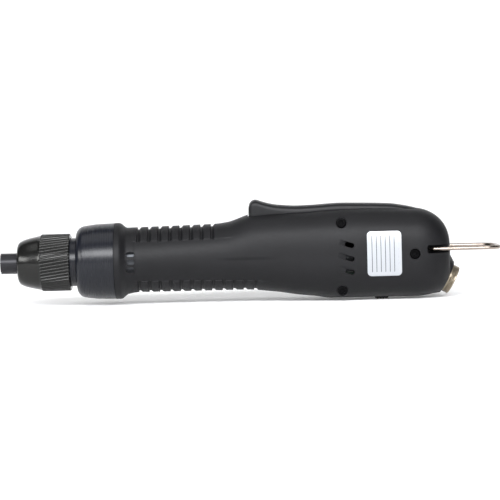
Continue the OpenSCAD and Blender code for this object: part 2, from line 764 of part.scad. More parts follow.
// ---------- motor ----------
can_bore_r = motor_r - can_wall;
front_bearing_x = motor_x + 0.4;
rear_bearing_x = end_cap_x + 2.2;
holder_x = commutator_x;
brush_x = commutator_x + 1;
module motor_can() {
    color("silver") difference() {
        disc(motor_x, end_cap_x, motor_r);
        disc(motor_x + 1.6, end_cap_x + 1, can_bore_r);
        disc(motor_x - 1, motor_x + 2, motor_bearing_r - 0.8);
        disc(front_bearing_x, motor_x + 2, motor_bearing_r + 0.02);
    }
}
module motor_magnets() {
    color("#4a4a4a") intersection() {
        ring(motor_x + 5, commutator_x - 0.6, can_bore_r - 0.02, rotor_r + 0.5);
        union() {
            block([motor_x, 4, -20], [end_cap_x, 20, 20]);
            block([motor_x, -20, -20], [end_cap_x, -4, 20]);
        }
    }
}
module motor_shaft() {
    color("silver") disc(motor_gear_x, shaft_end, motor_shaft_r);
}
module armature_core() {
    color("#55585c") difference() {
        ring(core_x, core_x + core_len, rotor_r, motor_shaft_r + 0.02);
        around(core_slots) {
            translate([0, 0, 7.4]) disc(core_x - 1, core_x + core_len + 1, 1.7);
            block([core_x - 1, -0.7, 7.4], [core_x + core_len + 1, 0.7, rotor_r + 1]);
        }
    }
}
module armature_windings() {
    color("#a85a2a") {
        for (x = [core_x - winding_len - 0.1, core_x + core_len + 0.1])
            ring(x, x + winding_len, 9.2, motor_shaft_r + 1.2);
        around(core_slots) translate([0, 0, 7.4]) disc(core_x - 0.2, core_x + core_len + 0.2, 1.55);
    }
}
module commutator() {
    color("#b87333") difference() {
        ring(commutator_x, commutator_x + commutator_len, commutator_r, motor_shaft_r + 0.02);
        around(core_slots, 26) block([commutator_x - 1, -0.2, commutator_r - 0.6],
            [commutator_x + commutator_len + 1, 0.2, commutator_r + 1]);
    }
}
module motor_bearings() {
    color("silver") for (x = [front_bearing_x, rear_bearing_x])
        ring(x, x + motor_bearing_len, motor_bearing_r, motor_shaft_r + 0.02);
}
module motor_end_cap() {
    color("#3c3c3c") difference() {
        union() {
            disc(end_cap_x, motor_back, motor_r);
            ring(end_cap_x - 3, end_cap_x + over, can_bore_r - 0.1, can_bore_r - 1.6);
            for (side = [-1, 1]) scale([1, 1, side])
                block([holder_x, -2.6, 4.8], [end_cap_x + over, 2.6, can_bore_r - 0.5]);
            for (side = [-1, 1]) scale([1, 1, side])
                block([motor_back - over, -1, 3.6], [motor_back + 2.6, 1, 4.4]);
        }
        for (side = [-1, 1]) scale([1, 1, side])
            block([brush_x - 0.1, -1.6, 0], [brush_x + 4.1, 1.6, can_bore_r - 1.1]);
        disc(end_cap_x - 1, rear_bearing_x + motor_bearing_len, motor_bearing_r + 0.02);
        disc(end_cap_x - 1, motor_back + 1, motor_shaft_r + 0.3);
    }
}
module carbon_brushes() {
    color("#2b2b2b") for (side = [-1, 1]) scale([1, 1, side])
        block([brush_x, -1.5, commutator_r + 0.05], [brush_x + 4, 1.5, 8.4]);
}
module brush_springs() {
    color("goldenrod") for (side = [0, 180]) rotate([side, 0, 0])
        translate([brush_x + 2, 0, 8.45]) rotate([0, -90, 0]) coil(1.1, 0.18, can_bore_r - 1.15 - 8.45, 4, 8, 4);
}

// ---------- electrics ----------
module control_board() {
    color("#1d5c34") block([board_x, -board_half_w, board_z], [board_x + board_len, board_half_w, board_z + board_t]);
}
module board_components() {
    top = board_z + board_t;
    color("#30343a") {
        for (y = [-8, 8]) translate([board_x + 13, y, top]) cylinder(r = 4, h = 11);
        block([board_x + 22, -12, top], [board_x + 36, -7.5, top + 9]);
        block([board_x + 22, 7.5, top], [board_x + 36, 12, top + 9]);
        block([board_x + 42, -5, top], [board_x + 52, 5, top + 1.6]);
        for (k = [0:3]) block([board_x + 24 + 3.5 * k, -2, top], [board_x + 26 + 3.5 * k, 2, top + 1]);
        block([board_x + 56, -6, top], [board_x + 61, 6, top + 6]);
        block([board_x + 1, -5, top], [board_x + 5, 5, top + 5]);
    }
}
module start_switch() {
    y = switch_size[1] / 2;
    color("#202226") difference() {
        union() {
            block([switch_x, -y, switch_z], [switch_x + switch_size[0], y, switch_z + switch_size[2]]);
            for (k = [0:2]) block([switch_x + 2 + 7.5 * k, -0.25, switch_z - 4],
                [switch_x + 4.6 + 7.5 * k, 0.25, switch_z + over]);
        }
        for (x = switch_pin_x) cross_bar(x, switch_z + 2.5, -10, 10, 1.25);
        translate([plunger_x, 0, switch_z + 4.4]) cylinder(r = 1.2 + run, h = 20);
    }
}
plunger_top = 20.5;
module switch_plunger() {
    color("firebrick") translate([plunger_x, 0, switch_z + 4.4 + plunger_travel + 0.2])
        cylinder(r = 1.2, h = plunger_top - switch_z - 4.6 - plunger_travel);
}

// ---------- start lever ----------
lever_len = lever_end - lever_x;
lever_top = [
    [0, 28.4], [1, 30.3], [2.1, 31.2], [3.9, 31.8], [6.4, 30.9], [10.9, 29.7], [15.4, 28.8], [26.4, 28],
    [35.4, 28.2], [49.4, 28.9], [59.4, 28.7], [76.9, 28], [85.4, 26.7], [lever_len, 25.3]
];
lever_bottom_z = 21.2;
lever_ceiling = 25.6;
lever_crown = [
    [1, -3.4], [0.985, -2.2], [0.93, -1.25], [0.8, -0.7], [0.5, -0.25], [0, 0],
    [-0.5, -0.25], [-0.8, -0.7], [-0.93, -1.25], [-0.985, -2.2], [-1, -3.4]
];
function lever_ring(u) = concat(
    [[lever_x + u, -lever_half_w, lever_bottom_z], [lever_x + u, lever_half_w, lever_bottom_z]],
    [for (p = lever_crown) [lever_x + u, lever_half_w * p[0], smooth(u, lever_top) + p[1]]]
);
lever_stations = concat([0, 0.4, 1, 2.1, 3.9, 5.2, 6.4, 8.6, 10.9, 13], [for (k = [0:13]) 15.4 + (lever_len - 15.4) * k / 13]);
notch_half = boss_r + 0.8;
module start_lever() {
    color("#222326") difference() {
        union() {
            difference() {
                skin([for (u = lever_stations) lever_ring(u)]);
                difference() {
                    block([lever_x + 2, 2 - lever_half_w, 10],
                        [lever_pivot[0] - 12, lever_half_w - 2, lever_ceiling]);
                    translate([plunger_x, 0, plunger_top + face_gap]) cylinder(r = 2.5, h = 10);
                }
            }
            cross_bar(lever_pivot[0], lever_pivot[1], 0.1 - lever_half_w, lever_half_w - 0.1, 3.2);
        }
        cross_bar(lever_pivot[0], lever_pivot[1], -20, 20, lever_pin_r + run);
        block([screw_places[0][0] - notch_half, -20, 10], [screw_places[0][0] + notch_half, 20, 23.7]);
    }
}
module lever_pin() {
    color("silver") cross_bar(lever_pivot[0], lever_pivot[1], -11.8, 11.8, lever_pin_r);
}
module lever_spring() {
    color("lightgrey") translate([lever_x + 7.9, 0, slot_floor + 0.05]) rotate([0, -90, 0])
        coil(2.6, 0.4, lever_ceiling - slot_floor - 0.1, 5, 12, 5);
}

// ---------- reversing switch ----------
knob_mid = knob_x + knob_len / 2;
module reverse_switch() {
    color("#202226") difference() {
        block([knob_mid - 10, -5, reverse_low], [knob_mid + 10, 5, reverse_low + 7.5]);
        block([knob_mid - 1.3 - knob_travel - 0.2, -1.5, reverse_low - 1],
            [knob_mid + 1.3 + knob_travel + 0.2, 1.5, reverse_low + 3.8]);
    }
}
module reverse_knob() {
    color("#1b1c1e") {
        block([knob_x, -knob_half_w, knob_low], [knob_x + knob_len, knob_half_w, reverse_low - 0.25]);
        block([knob_mid - 1.3, -1.3, reverse_low - 0.3], [knob_mid + 1.3, 1.3, reverse_low + 3.5]);
    }
}

// ---------- connector ----------
insert_face = -3;
pin_circle = 4.3;
module connector_shell() {
    color("#b9b2a6") difference() {
        union() {
            connector_disc(shell_back, 0.1, shell_inner_r);
            connector_disc(run, connector_out, connector_r);
        }
        connector_disc(shell_back - 1, connector_out + 1, connector_r - 1.6);
    }
}
module connector_insert() {
    color("#1c1c1c") difference() {
        connector_disc(shell_back + 1, insert_face, connector_r - 1.65);
        on_connector() for (k = [0:4]) rotate(72 * k) translate([pin_circle, 0, shell_back])
            cylinder(r = 0.5, h = 20);
    }
}
module connector_pins() {
    color("gold") on_connector() for (k = [0:4]) rotate(72 * k) translate([pin_circle, 0, shell_back - 1.5])
        cylinder(r = 0.5, h = 14.5);
}
module connector_nut() {
    color("#b9b2a6") difference() {
        on_connector() translate([0, 0, -7.7]) cylinder(r = connector_r + 2.6, h = 3, $fn = 6);
        connector_disc(-10, 0, shell_inner_r + 0.02);
    }
}

// ---------- bail, label and leads ----------
module bail_side() {
    bend_x = bail_pivot[0] + bail_bend;
    bow_x = bail_pivot[0] + bail_reach - bail_half_w;
    translate([0, 0, bail_pivot[1]]) {
        cross_bar(bail_pivot[0], 0, bail_pin_y, bail_half_w - bail_bend, wire_r);
        translate([bend_x, bail_half_w - bail_bend, 0]) rotate([0, 0, 90])
            rotate_extrude(angle = 90) translate([bail_bend, 0]) circle(r = wire_r);
        translate([0, bail_half_w, 0]) disc(bend_x, bow_x, wire_r);
        translate([bow_x, 0, 0]) rotate_extrude(angle = 90) translate([bail_half_w, 0]) circle(r = wire_r);
    }
}
module bail() {
    color("silver") {
        bail_side();
        mirror([0, 1, 0]) bail_side();
    }
}
label_x = tail_x - 26;
label_len = 18.5;
label_low = -10.6;
label_high = 13.5;
label_corner = 2.2;
module rating_label() {
    stations = [for (x = rear_stations) if (x > label_x - 10 && x < label_x + label_len + 10) x];
    color("#d8d9dc") intersection() {
        difference() {
            skin([for (x = stations) [for (p = half_ring(x)) [p[0], p[1] - label_t, p[2]]]]);
            skin([for (x = stations) half_ring(x)]);
        }
        translate([label_x, 0, label_low]) rotate([90, 0, 0]) linear_extrude(30) translate([label_corner, label_corner])
            offset(r = label_corner)
            square([label_len - 2 * label_corner, label_high - label_low - 2 * label_corner]);
    }
}
lead_r = 0.8;
module motor_leads() {
    color("firebrick") for (side = [-1, 1]) wire_run([
        [motor_back + 2.95, 0, 4 * side], [motor_back + 5, side, 3.6 * side], [motor_back + 7.5, 3 * side, 1.5 * side],
        [motor_back + 9.5, 3.5 * side, -1], [motor_back + 11.5, 3.4 * side, board_z + board_t + 5.6 + lead_r],
        [motor_back + 13.6, 3.2 * side, board_z + board_t + 5 + lead_r + 0.02]
    ], lead_r);
}
module connector_leads() {
    color("darkorange") for (side = [-1, 1]) wire_run([
        [board_x + board_len - 5.5, 3 * side, board_z + board_t + 6.35 + lead_r],
        [board_x + board_len - 3, 3 * side, -1.3], [board_x + board_len, 3.1 * side, -3.2],
        [board_x + board_len + 4, 3.2 * side, -4.6], [board_x + board_len + 7, 3.3 * side, -5.6],
        [face_x + (shell_back - 2.4) * cos(connector_tilt), 3.4 * side, face_z - (shell_back - 2.4) * sin(connector_tilt)]
    ], lead_r);
}

housing_left();
housing_right();
housing_screws();
front_collar();
torque_nut();
spring_seat();
front_bush();
clutch_spring();
thrust_races();
thrust_balls();
pressure_plate();
clutch_balls();
clutch_cam();
spindle();
bit_lock_balls();
bit_sleeve();
sleeve_spring();
sleeve_clip();
gearbox_cover();
output_bearing();
ring_gear();
output_carrier();
output_planet_1();
output_planet_2();
output_planet_3();
output_planet_pins();
motor_stage_carrier();
motor_planet_1();
motor_planet_2();
motor_planet_3();
motor_planet_pins();
motor_pinion();
motor_can();
motor_magnets();
motor_shaft();
armature_core();
armature_windings();
commutator();
motor_bearings();
motor_end_cap();
carbon_brushes();
brush_springs();
control_board();
board_components();
start_switch();
switch_plunger();
start_lever();
lever_pin();
lever_spring();
reverse_switch();
reverse_knob();
connector_shell();
connector_insert();
connector_pins();
connector_nut();
bail();
rating_label();
motor_leads();
connector_leads();
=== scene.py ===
"""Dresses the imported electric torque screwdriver: moulded shells, anodised nose, lever, label, connector and bail.

The sizes inside the classes are in millimetres; a finished mesh is scaled to metres once, in ``Workshop.finish``.
"""

import json
import logging
import math
from collections.abc import Callable, Sequence
from dataclasses import dataclass
from enum import Enum

import bmesh
import bpy
from mathutils import Matrix, Vector

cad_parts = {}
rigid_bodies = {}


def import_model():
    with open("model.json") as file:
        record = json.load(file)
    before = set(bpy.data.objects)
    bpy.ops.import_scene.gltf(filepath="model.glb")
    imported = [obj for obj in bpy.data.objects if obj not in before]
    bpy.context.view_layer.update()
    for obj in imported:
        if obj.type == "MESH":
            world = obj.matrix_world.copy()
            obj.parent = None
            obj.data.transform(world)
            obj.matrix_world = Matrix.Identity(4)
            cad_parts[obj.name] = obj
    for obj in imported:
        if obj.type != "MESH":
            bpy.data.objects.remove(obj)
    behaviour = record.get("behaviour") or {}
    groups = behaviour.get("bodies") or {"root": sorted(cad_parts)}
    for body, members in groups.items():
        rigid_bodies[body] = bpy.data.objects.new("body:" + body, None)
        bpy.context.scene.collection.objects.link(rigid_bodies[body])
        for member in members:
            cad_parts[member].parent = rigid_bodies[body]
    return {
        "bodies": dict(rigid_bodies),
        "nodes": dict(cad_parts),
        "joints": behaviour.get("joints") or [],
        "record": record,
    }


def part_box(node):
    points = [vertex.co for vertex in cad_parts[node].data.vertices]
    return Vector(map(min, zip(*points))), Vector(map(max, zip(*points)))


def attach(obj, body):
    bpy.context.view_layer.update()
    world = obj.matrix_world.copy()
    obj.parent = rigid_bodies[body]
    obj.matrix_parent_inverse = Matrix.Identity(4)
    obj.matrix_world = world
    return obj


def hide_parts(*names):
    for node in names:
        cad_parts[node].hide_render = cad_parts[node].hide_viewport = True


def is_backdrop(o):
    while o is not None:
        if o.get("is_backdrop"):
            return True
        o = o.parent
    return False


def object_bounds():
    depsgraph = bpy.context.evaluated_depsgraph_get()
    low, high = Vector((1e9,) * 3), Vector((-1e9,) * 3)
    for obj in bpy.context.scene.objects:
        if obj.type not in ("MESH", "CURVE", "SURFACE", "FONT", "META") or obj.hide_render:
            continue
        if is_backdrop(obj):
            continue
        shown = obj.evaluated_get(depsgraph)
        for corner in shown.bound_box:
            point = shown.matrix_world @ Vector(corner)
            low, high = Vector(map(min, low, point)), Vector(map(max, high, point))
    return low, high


MM = 0.001
log = logging.getLogger("screwdriver")

Colour = tuple[float, float, float, float]
Place = tuple[float, float, float]


# ---------- small tools ----------
def linear(code: str) -> Colour:
    """Turns an sRGB hex colour into linear light.

    Args:
        code: Colour as "#rrggbb".

    Returns:
        Red, green, blue and an alpha of 1.
    """
    parts = [int(code[i : i + 2], 16) / 255 for i in (1, 3, 5)]
    red, green, blue = (p / 12.92 if p <= 0.04045 else ((p + 0.055) / 1.055) ** 2.4 for p in parts)
    return red, green, blue, 1.0


def add_node(tree: bpy.types.NodeTree, kind: str, inputs: dict | None = None, **settings: object) -> bpy.types.Node:
    """Adds one shader node with its settings and links.

    Args:
        tree: Node tree that gets the node.
        kind: Blender's node type name.
        inputs: Socket name or number to a plain value, or to the output socket that feeds it.
        **settings: Properties of the node itself.

    Returns:
        The new node.
    """
    node = tree.nodes.new(kind)
    for name, value in settings.items():
        setattr(node, name, value)
    for socket, value in (inputs or {}).items():
        if isinstance(value, bpy.types.NodeSocket):
            tree.links.new(value, node.inputs[socket])
        else:
            node.inputs[socket].default_value = value
    return node


def mm_box(node: str) -> tuple[Vector, Vector]:
    """Gives a CAD node's lowest and highest corners at rest, in millimetres."""
    low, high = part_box(node)
    return low / MM, high / MM


def smoothstep(value: float, low: float, high: float) -> float:
    """Eases from 0 at low to 1 at high."""
    t = min(1.0, max(0.0, (value - low) / (high - low)))
    return t * t * (3 - 2 * t)


def spread(low: float, high: float, count: int) -> list[float]:
    """Lists count + 1 evenly spaced values from low to high."""
    return [low + (high - low) * k / count for k in range(count + 1)]


@dataclass(frozen=True)
class SmoothLine:
    """A smooth line through (place, size) points that never overshoots them."""

    points: tuple[tuple[float, float], ...]

    def slope(self, i: int) -> float:
        """Slope of span i."""
        (x0, y0), (x1, y1) = self.points[i], self.points[i + 1]
        return (y1 - y0) / (x1 - x0)

    def tangent(self, i: int) -> float:
        """Slope of the smooth line at point i.

        Args:
            i: Number of the point.

        Returns:
            The slope, 0 where the line turns back.
        """
        if i == 0:
            return self.slope(0)
        if i == len(self.points) - 1:
            return self.slope(i - 1)
        before, after = self.slope(i - 1), self.slope(i)
        return 0.0 if before * after <= 0 else 2 * before * after / (before + after)

    def at(self, place: float) -> float:
        """Size at a place; the end values hold beyond the ends.

        Args:
            place: Distance along the line.

        Returns:
            The interpolated size.
        """
        i = 0
        while i < len(self.points) - 2 and place > self.points[i + 1][0]:
            i += 1
        (x0, y0), (x1, y1) = self.points[i], self.points[i + 1]
        span = x1 - x0
        s = min(1.0, max(0.0, (place - x0) / span))
        s2, s3 = s * s, s * s * s
        return (
            (2 * s3 - 3 * s2 + 1) * y0
            + (s3 - 2 * s2 + s) * span * self.tangent(i)
            + (3 * s2 - 2 * s3) * y1
            + (s3 - s2) * span * self.tangent(i + 1)
        )


# ---------- finishes ----------
class Texture(Enum):
    """How a surface was made, which sets the pattern of its fine relief."""

    SPARKED = "spark-eroded mould grain"
    TURNED = "turning lines round the X axis"
    DRAWN = "drawing lines along the piece"
    PLAIN = "fine cast or plated skin"


@dataclass(frozen=True)
class Finish:
    """One material: its colours, gloss and relief, with pattern sizes in millimetres."""

    name: str
    colour: str
    patch: str
    roughness: float
    metallic: float = 0.0
    ior: float = 1.5
    texture: Texture = Texture.PLAIN
    grain: float = 0.6
    relief: float = 0.01
    patch_size: float = 9.0
    gloss_spread: float = 0.06
    specular: float = 0.5

    def pattern(self, tree: bpy.types.NodeTree, place: bpy.types.NodeSocket) -> bpy.types.NodeSocket:
        """Adds the fine relief's height pattern.

        Args:
            tree: Material's node tree.
            place: Object coordinates.

        Returns:
            The height socket.
        """
        scale = 1 / (self.grain * MM)
        if self.texture is Texture.TURNED:
            split = add_node(tree, "ShaderNodeSeparateXYZ", {0: place})
            lines = add_node(
                tree, "ShaderNodeTexNoise", {"W": split.outputs["X"], "Scale": scale, "Detail": 2.0},
                noise_dimensions="1D",
            )
            return lines.outputs["Fac"]
        if self.texture is Texture.DRAWN:
            along = add_node(tree, "ShaderNodeMapping", {"Vector": place, "Scale": (0.04, 1.0, 1.0)})
            place = along.outputs[0]
        detail = 3.0 if self.texture is Texture.SPARKED else 1.5
        noise = add_node(tree, "ShaderNodeTexNoise", {"Vector": place, "Scale": scale, "Detail": detail})
        return noise.outputs["Fac"]

    def colour_socket(self, tree: bpy.types.NodeTree, place: bpy.types.NodeSocket) -> bpy.types.NodeSocket:
        """Adds slow colour variation between the two colours and returns its socket.

        Args:
            tree: Material's node tree.
            place: Object coordinates.

        Returns:
            The colour socket.
        """
        patches = add_node(
            tree, "ShaderNodeTexNoise",
            {"Vector": place, "Scale": 1 / (self.patch_size * MM), "Detail": 4.0, "Roughness": 0.6},
        )
        return add_node(
            tree, "ShaderNodeMix",
            {0: patches.outputs["Fac"], 6: linear(self.colour), 7: linear(self.patch)},
            data_type="RGBA",
        ).outputs[2]

    def build(self) -> bpy.types.Material:
        """Makes the material.

        Returns:
            A node material with varied colour, roughness and relief.
        """
        material = bpy.data.materials.new(self.name)
        material.use_nodes = True
        tree = material.node_tree
        surface = tree.nodes["Principled BSDF"]
        place = add_node(tree, "ShaderNodeTexCoord").outputs["Object"]
        height = self.pattern(tree, place)
        gloss = add_node(
            tree, "ShaderNodeMapRange",
            {0: height, 1: 0.25, 2: 0.75, 3: self.roughness - self.gloss_spread, 4: self.roughness + self.gloss_spread},
        )
        bump = add_node(tree, "ShaderNodeBump", {"Height": height, "Distance": self.relief * MM, "Strength": 1.0})
        tree.links.new(self.colour_socket(tree, place), surface.inputs["Base Color"])
        tree.links.new(gloss.outputs[0], surface.inputs["Roughness"])
        tree.links.new(bump.outputs[0], surface.inputs["Normal"])
        surface.inputs["Metallic"].default_value = self.metallic
        if self.metallic < 1:
            surface.inputs["IOR"].default_value = self.ior
        surface.inputs["Specular IOR Level"].default_value = self.specular
        return material


@dataclass(frozen=True)
class RuledLabel(Finish):
    """Silver polyester label with plain printed rules and no words."""

    ink: str = "#3a3c3f"
    pitch: float = 2.4
    rule: float = 0.34
    edge_low: tuple[float, float] = (0.0, 0.0)
    edge_high: tuple[float, float] = (1.0, 1.0)

    def inside(
        self, tree: bpy.types.NodeTree, value: bpy.types.NodeSocket, low: float, high: float
    ) -> bpy.types.NodeSocket:
        """Adds a test that is 1 where value lies between low and high, in millimetres.

        Args:
            tree: Material's node tree.
            value: Coordinate that is tested, in metres.
            low: Lower limit, in millimetres.
            high: Upper limit, in millimetres.

        Returns:
            A socket that is 1 inside the limits and 0 outside.
        """
        over = add_node(tree, "ShaderNodeMath", {0: value, 1: low * MM}, operation="GREATER_THAN")
        under = add_node(tree, "ShaderNodeMath", {0: value, 1: high * MM}, operation="LESS_THAN")
        return add_node(
            tree, "ShaderNodeMath", {0: over.outputs[0], 1: under.outputs[0]}, operation="MULTIPLY"
        ).outputs[0]

    def colour_socket(self, tree: bpy.types.NodeTree, place: bpy.types.NodeSocket) -> bpy.types.NodeSocket:
        """Adds the silver ground with grey rules across it.

        Args:
            tree: Material's node tree.
            place: Object coordinates.

        Returns:
            The colour socket.
        """
        ground = Finish.colour_socket(self, tree, place)
        split = add_node(tree, "ShaderNodeSeparateXYZ", {0: place})
        start = self.edge_low[0] + self.pitch
        shifted = add_node(
            tree, "ShaderNodeMath", {0: split.outputs["X"], 1: start * MM}, operation="SUBTRACT"
        )
        step = add_node(tree, "ShaderNodeMath", {0: shifted.outputs[0], 1: self.pitch * MM}, operation="FLOORED_MODULO")
        line = add_node(tree, "ShaderNodeMath", {0: step.outputs[0], 1: self.rule * MM}, operation="LESS_THAN")
        across = self.inside(tree, split.outputs["X"], start - 0.1, self.edge_high[0] - self.pitch * 0.7)
        along = self.inside(tree, split.outputs["Z"], self.edge_low[1] + 2.2, self.edge_high[1] - 2.2)
        field = add_node(tree, "ShaderNodeMath", {0: across, 1: along}, operation="MULTIPLY")
        printed = add_node(tree, "ShaderNodeMath", {0: line.outputs[0], 1: field.outputs[0]}, operation="MULTIPLY")
        return add_node(
            tree, "ShaderNodeMix", {0: printed.outputs[0], 6: ground, 7: linear(self.ink)}, data_type="RGBA"
        ).outputs[2]


# Static-dissipative glass-filled nylon from a spark-eroded mould: soft charcoal with a broad, dull highlight.
# The real grain is about 0.15 mm; it is drawn at 0.7 mm, the finest that still shows.
NYLON = Finish(
    "moulded_black_nylon", "#0f0f10", "#141416", 0.5, specular=0.17, ior=1.5, texture=Texture.SPARKED,
    grain=0.7, relief=0.035, patch_size=14, gloss_spread=0.07,
)
# The lever is the same nylon, rubbed a little smoother by fingers.
LEVER_NYLON = Finish(
    "handled_black_nylon", "#0f0f10", "#131315", 0.42, specular=0.18, ior=1.5, texture=Texture.SPARKED,
    grain=0.7, relief=0.025, patch_size=10, gloss_spread=0.07,
)
# Acetal knob: deep black and a touch waxy.
ACETAL = Finish(
    "moulded_black_acetal", "#101012", "#151517", 0.38, ior=1.48, specular=0.3, texture=Texture.SPARKED,
    relief=0.015,
)
# Black anodised aluminium turned on a lathe: blue-black, with clear streaks of light along the axis.
ANODISED_COLLAR = Finish(
    "black_anodised_turned_aluminium", "#0b0d12", "#0f1118", 0.28, metallic=0.0, ior=1.5, texture=Texture.TURNED,
    grain=0.35, relief=0.0012, patch_size=18, gloss_spread=0.03, specular=0.3,
)
# Hard-anodised nut, polished before the bath: grey-black with sharp-edged reflections.
ANODISED_NUT = Finish(
    "hard_anodised_polished_aluminium", "#232322", "#2a2a29", 0.2, metallic=0.7, specular=0.4, texture=Texture.TURNED,
    grain=0.4, relief=0.004, patch_size=15, gloss_spread=0.04,
)
# Black-oxidised steel: thin dark skin over bare steel, satin.
BLACK_OXIDE = Finish(
    "black_oxidised_steel", "#1d1d1f", "#252528", 0.36, metallic=0.5, specular=0.35, texture=Texture.TURNED,
    grain=0.3, relief=0.004, patch_size=5,
)
# Black-oxidised screw heads, pressed and tumbled; their colour and gloss are pushed almost to pure black as painted
# shade of the deep counterbores they sit in.
SCREW_BLACK_AND_HOLE_SHADE = Finish("tumbled_black_screw_steel_with_painted_hole_shade", "#030304", "#050506", 0.4, specular=0.06, grain=0.3, relief=0.006)
# Drawn stainless wire: warm grey with light running along it.
STAINLESS = Finish(
    "drawn_stainless_wire", "#a59a90", "#8b8078", 0.24, metallic=1, texture=Texture.DRAWN, grain=0.25, relief=0.004,
    patch_size=6,
)
# Dull nickel over brass: a little yellow, fine plated grain.
NICKEL = Finish(
    "dull_nickel_plated_brass", "#a59a88", "#8d8474", 0.36, metallic=1, grain=0.25, relief=0.006, patch_size=5,
)
# Ground or turned bright steel of shafts, gears and races.
BRIGHT_STEEL = Finish(
    "turned_bright_steel", "#b5b7ba", "#9da0a4", 0.26, metallic=1, texture=Texture.TURNED, grain=0.3, relief=0.004,
)
# Zinc-plated deep-drawn motor can, bright with a faint mottle.
ZINC = Finish("zinc_plated_drawn_steel", "#c3c6ca", "#aeb2b8", 0.3, metallic=1, grain=0.8, relief=0.004, patch_size=6)
# Zinc die-casting of the gearbox cover: even pale grey, slightly rough.
DIECAST = Finish("zinc_die_casting", "#a9abae", "#96999c", 0.42, metallic=1, grain=0.5, relief=0.012)
# Sintered bronze bush and planets: warm, with dark pores full of oil.
BRONZE = Finish("sintered_oiled_bronze", "#a9762f", "#8a5e26", 0.42, metallic=1, grain=0.3, relief=0.01, patch_size=2)
# Spring wire, bright and smooth.
SPRING_STEEL = Finish("drawn_spring_steel", "#b9bbbd", "#9a9c9f", 0.28, metallic=1, grain=0.3, relief=0.003)
# Enamelled copper windings under varnish: deep orange-brown.
COPPER = Finish("enamelled_copper_wire", "#9a4f22", "#7c3c18", 0.3, metallic=0.8, grain=0.45, relief=0.08, patch_size=3)
# Laminated armature steel: dull and dark.
LAMINATED = Finish(
    "laminated_armature_steel", "#55575a", "#45474a", 0.5, metallic=0.9, texture=Texture.TURNED, grain=0.5, relief=0.02,
)
# Ferrite magnets and carbon: black, dry and granular.
FERRITE = Finish("pressed_ferrite", "#37383a", "#2b2c2e", 0.62, grain=0.3, relief=0.01)
CARBON = Finish("pressed_carbon", "#26272a", "#1d1e20", 0.6, grain=0.2, relief=0.012)
# Glass-fibre circuit board under green solder resist.
BOARD = Finish("green_solder_resist_on_glass_fibre", "#0f3a20", "#0c301a", 0.35, grain=0.5, relief=0.006)
# Potted and moulded electronic parts: dark epoxy.
EPOXY = Finish("moulded_epoxy_parts", "#2e3238", "#25282d", 0.42, grain=0.4, relief=0.01)
# Phenolic switch bodies, the insert and the end cap.
PHENOLIC = Finish("moulded_black_phenolic", "#1f2124", "#191b1d", 0.45, texture=Texture.SPARKED, grain=0.5, relief=0.01)
# Red acetal plunger.
RED_ACETAL = Finish("moulded_red_acetal", "#8e1f1c", "#7a1815", 0.4, grain=0.5, relief=0.008)
# Gold-flashed contact pins.
GOLD = Finish("gold_flashed_contacts", "#d8a945", "#c2943a", 0.22, metallic=1, grain=0.4, relief=0.003)
# PVC lead insulation, slightly soft and shiny.
PVC_RED = Finish("extruded_red_pvc", "#8c1b16", "#7c1612", 0.35, grain=0.6, relief=0.008)

CAD_FINISHES: dict[Finish, tuple[str, ...]] = {
    NYLON: ("housing_left", "housing_right"),
    LEVER_NYLON: ("start_lever",),
    ACETAL: ("reverse_knob",),
    ANODISED_COLLAR: ("front_collar",),
    ANODISED_NUT: ("torque_nut",),
    BLACK_OXIDE: ("bit_sleeve", "sleeve_clip"),
    SCREW_BLACK_AND_HOLE_SHADE: ("housing_screws",),
    STAINLESS: ("bail",),
    NICKEL: ("connector_shell", "connector_nut"),
    BRIGHT_STEEL: (
        "spindle", "thrust_races", "thrust_balls", "clutch_balls", "bit_lock_balls", "output_bearing",
        "output_planet_pins", "motor_planet_pins", "motor_pinion", "motor_shaft", "motor_bearings", "lever_pin",
        "pressure_plate", "clutch_cam", "output_carrier", "motor_stage_carrier",
    ),
    ZINC: ("motor_can",),
    DIECAST: ("gearbox_cover", "spring_seat"),
    BRONZE: (
        "front_bush", "output_planet_1", "output_planet_2", "output_planet_3", "motor_planet_1", "motor_planet_2",
        "motor_planet_3",
    ),
    SPRING_STEEL: ("clutch_spring", "sleeve_spring", "brush_springs", "lever_spring"),
    COPPER: ("armature_windings", "commutator"),
    LAMINATED: ("armature_core", "ring_gear"),
    FERRITE: ("motor_magnets",),
    CARBON: ("carbon_brushes",),
    BOARD: ("control_board",),
    EPOXY: ("board_components",),
    PHENOLIC: ("start_switch", "reverse_switch", "connector_insert", "motor_end_cap"),
    RED_ACETAL: ("switch_plunger",),
    GOLD: ("connector_pins",),
    PVC_RED: ("motor_leads", "connector_leads"),
}


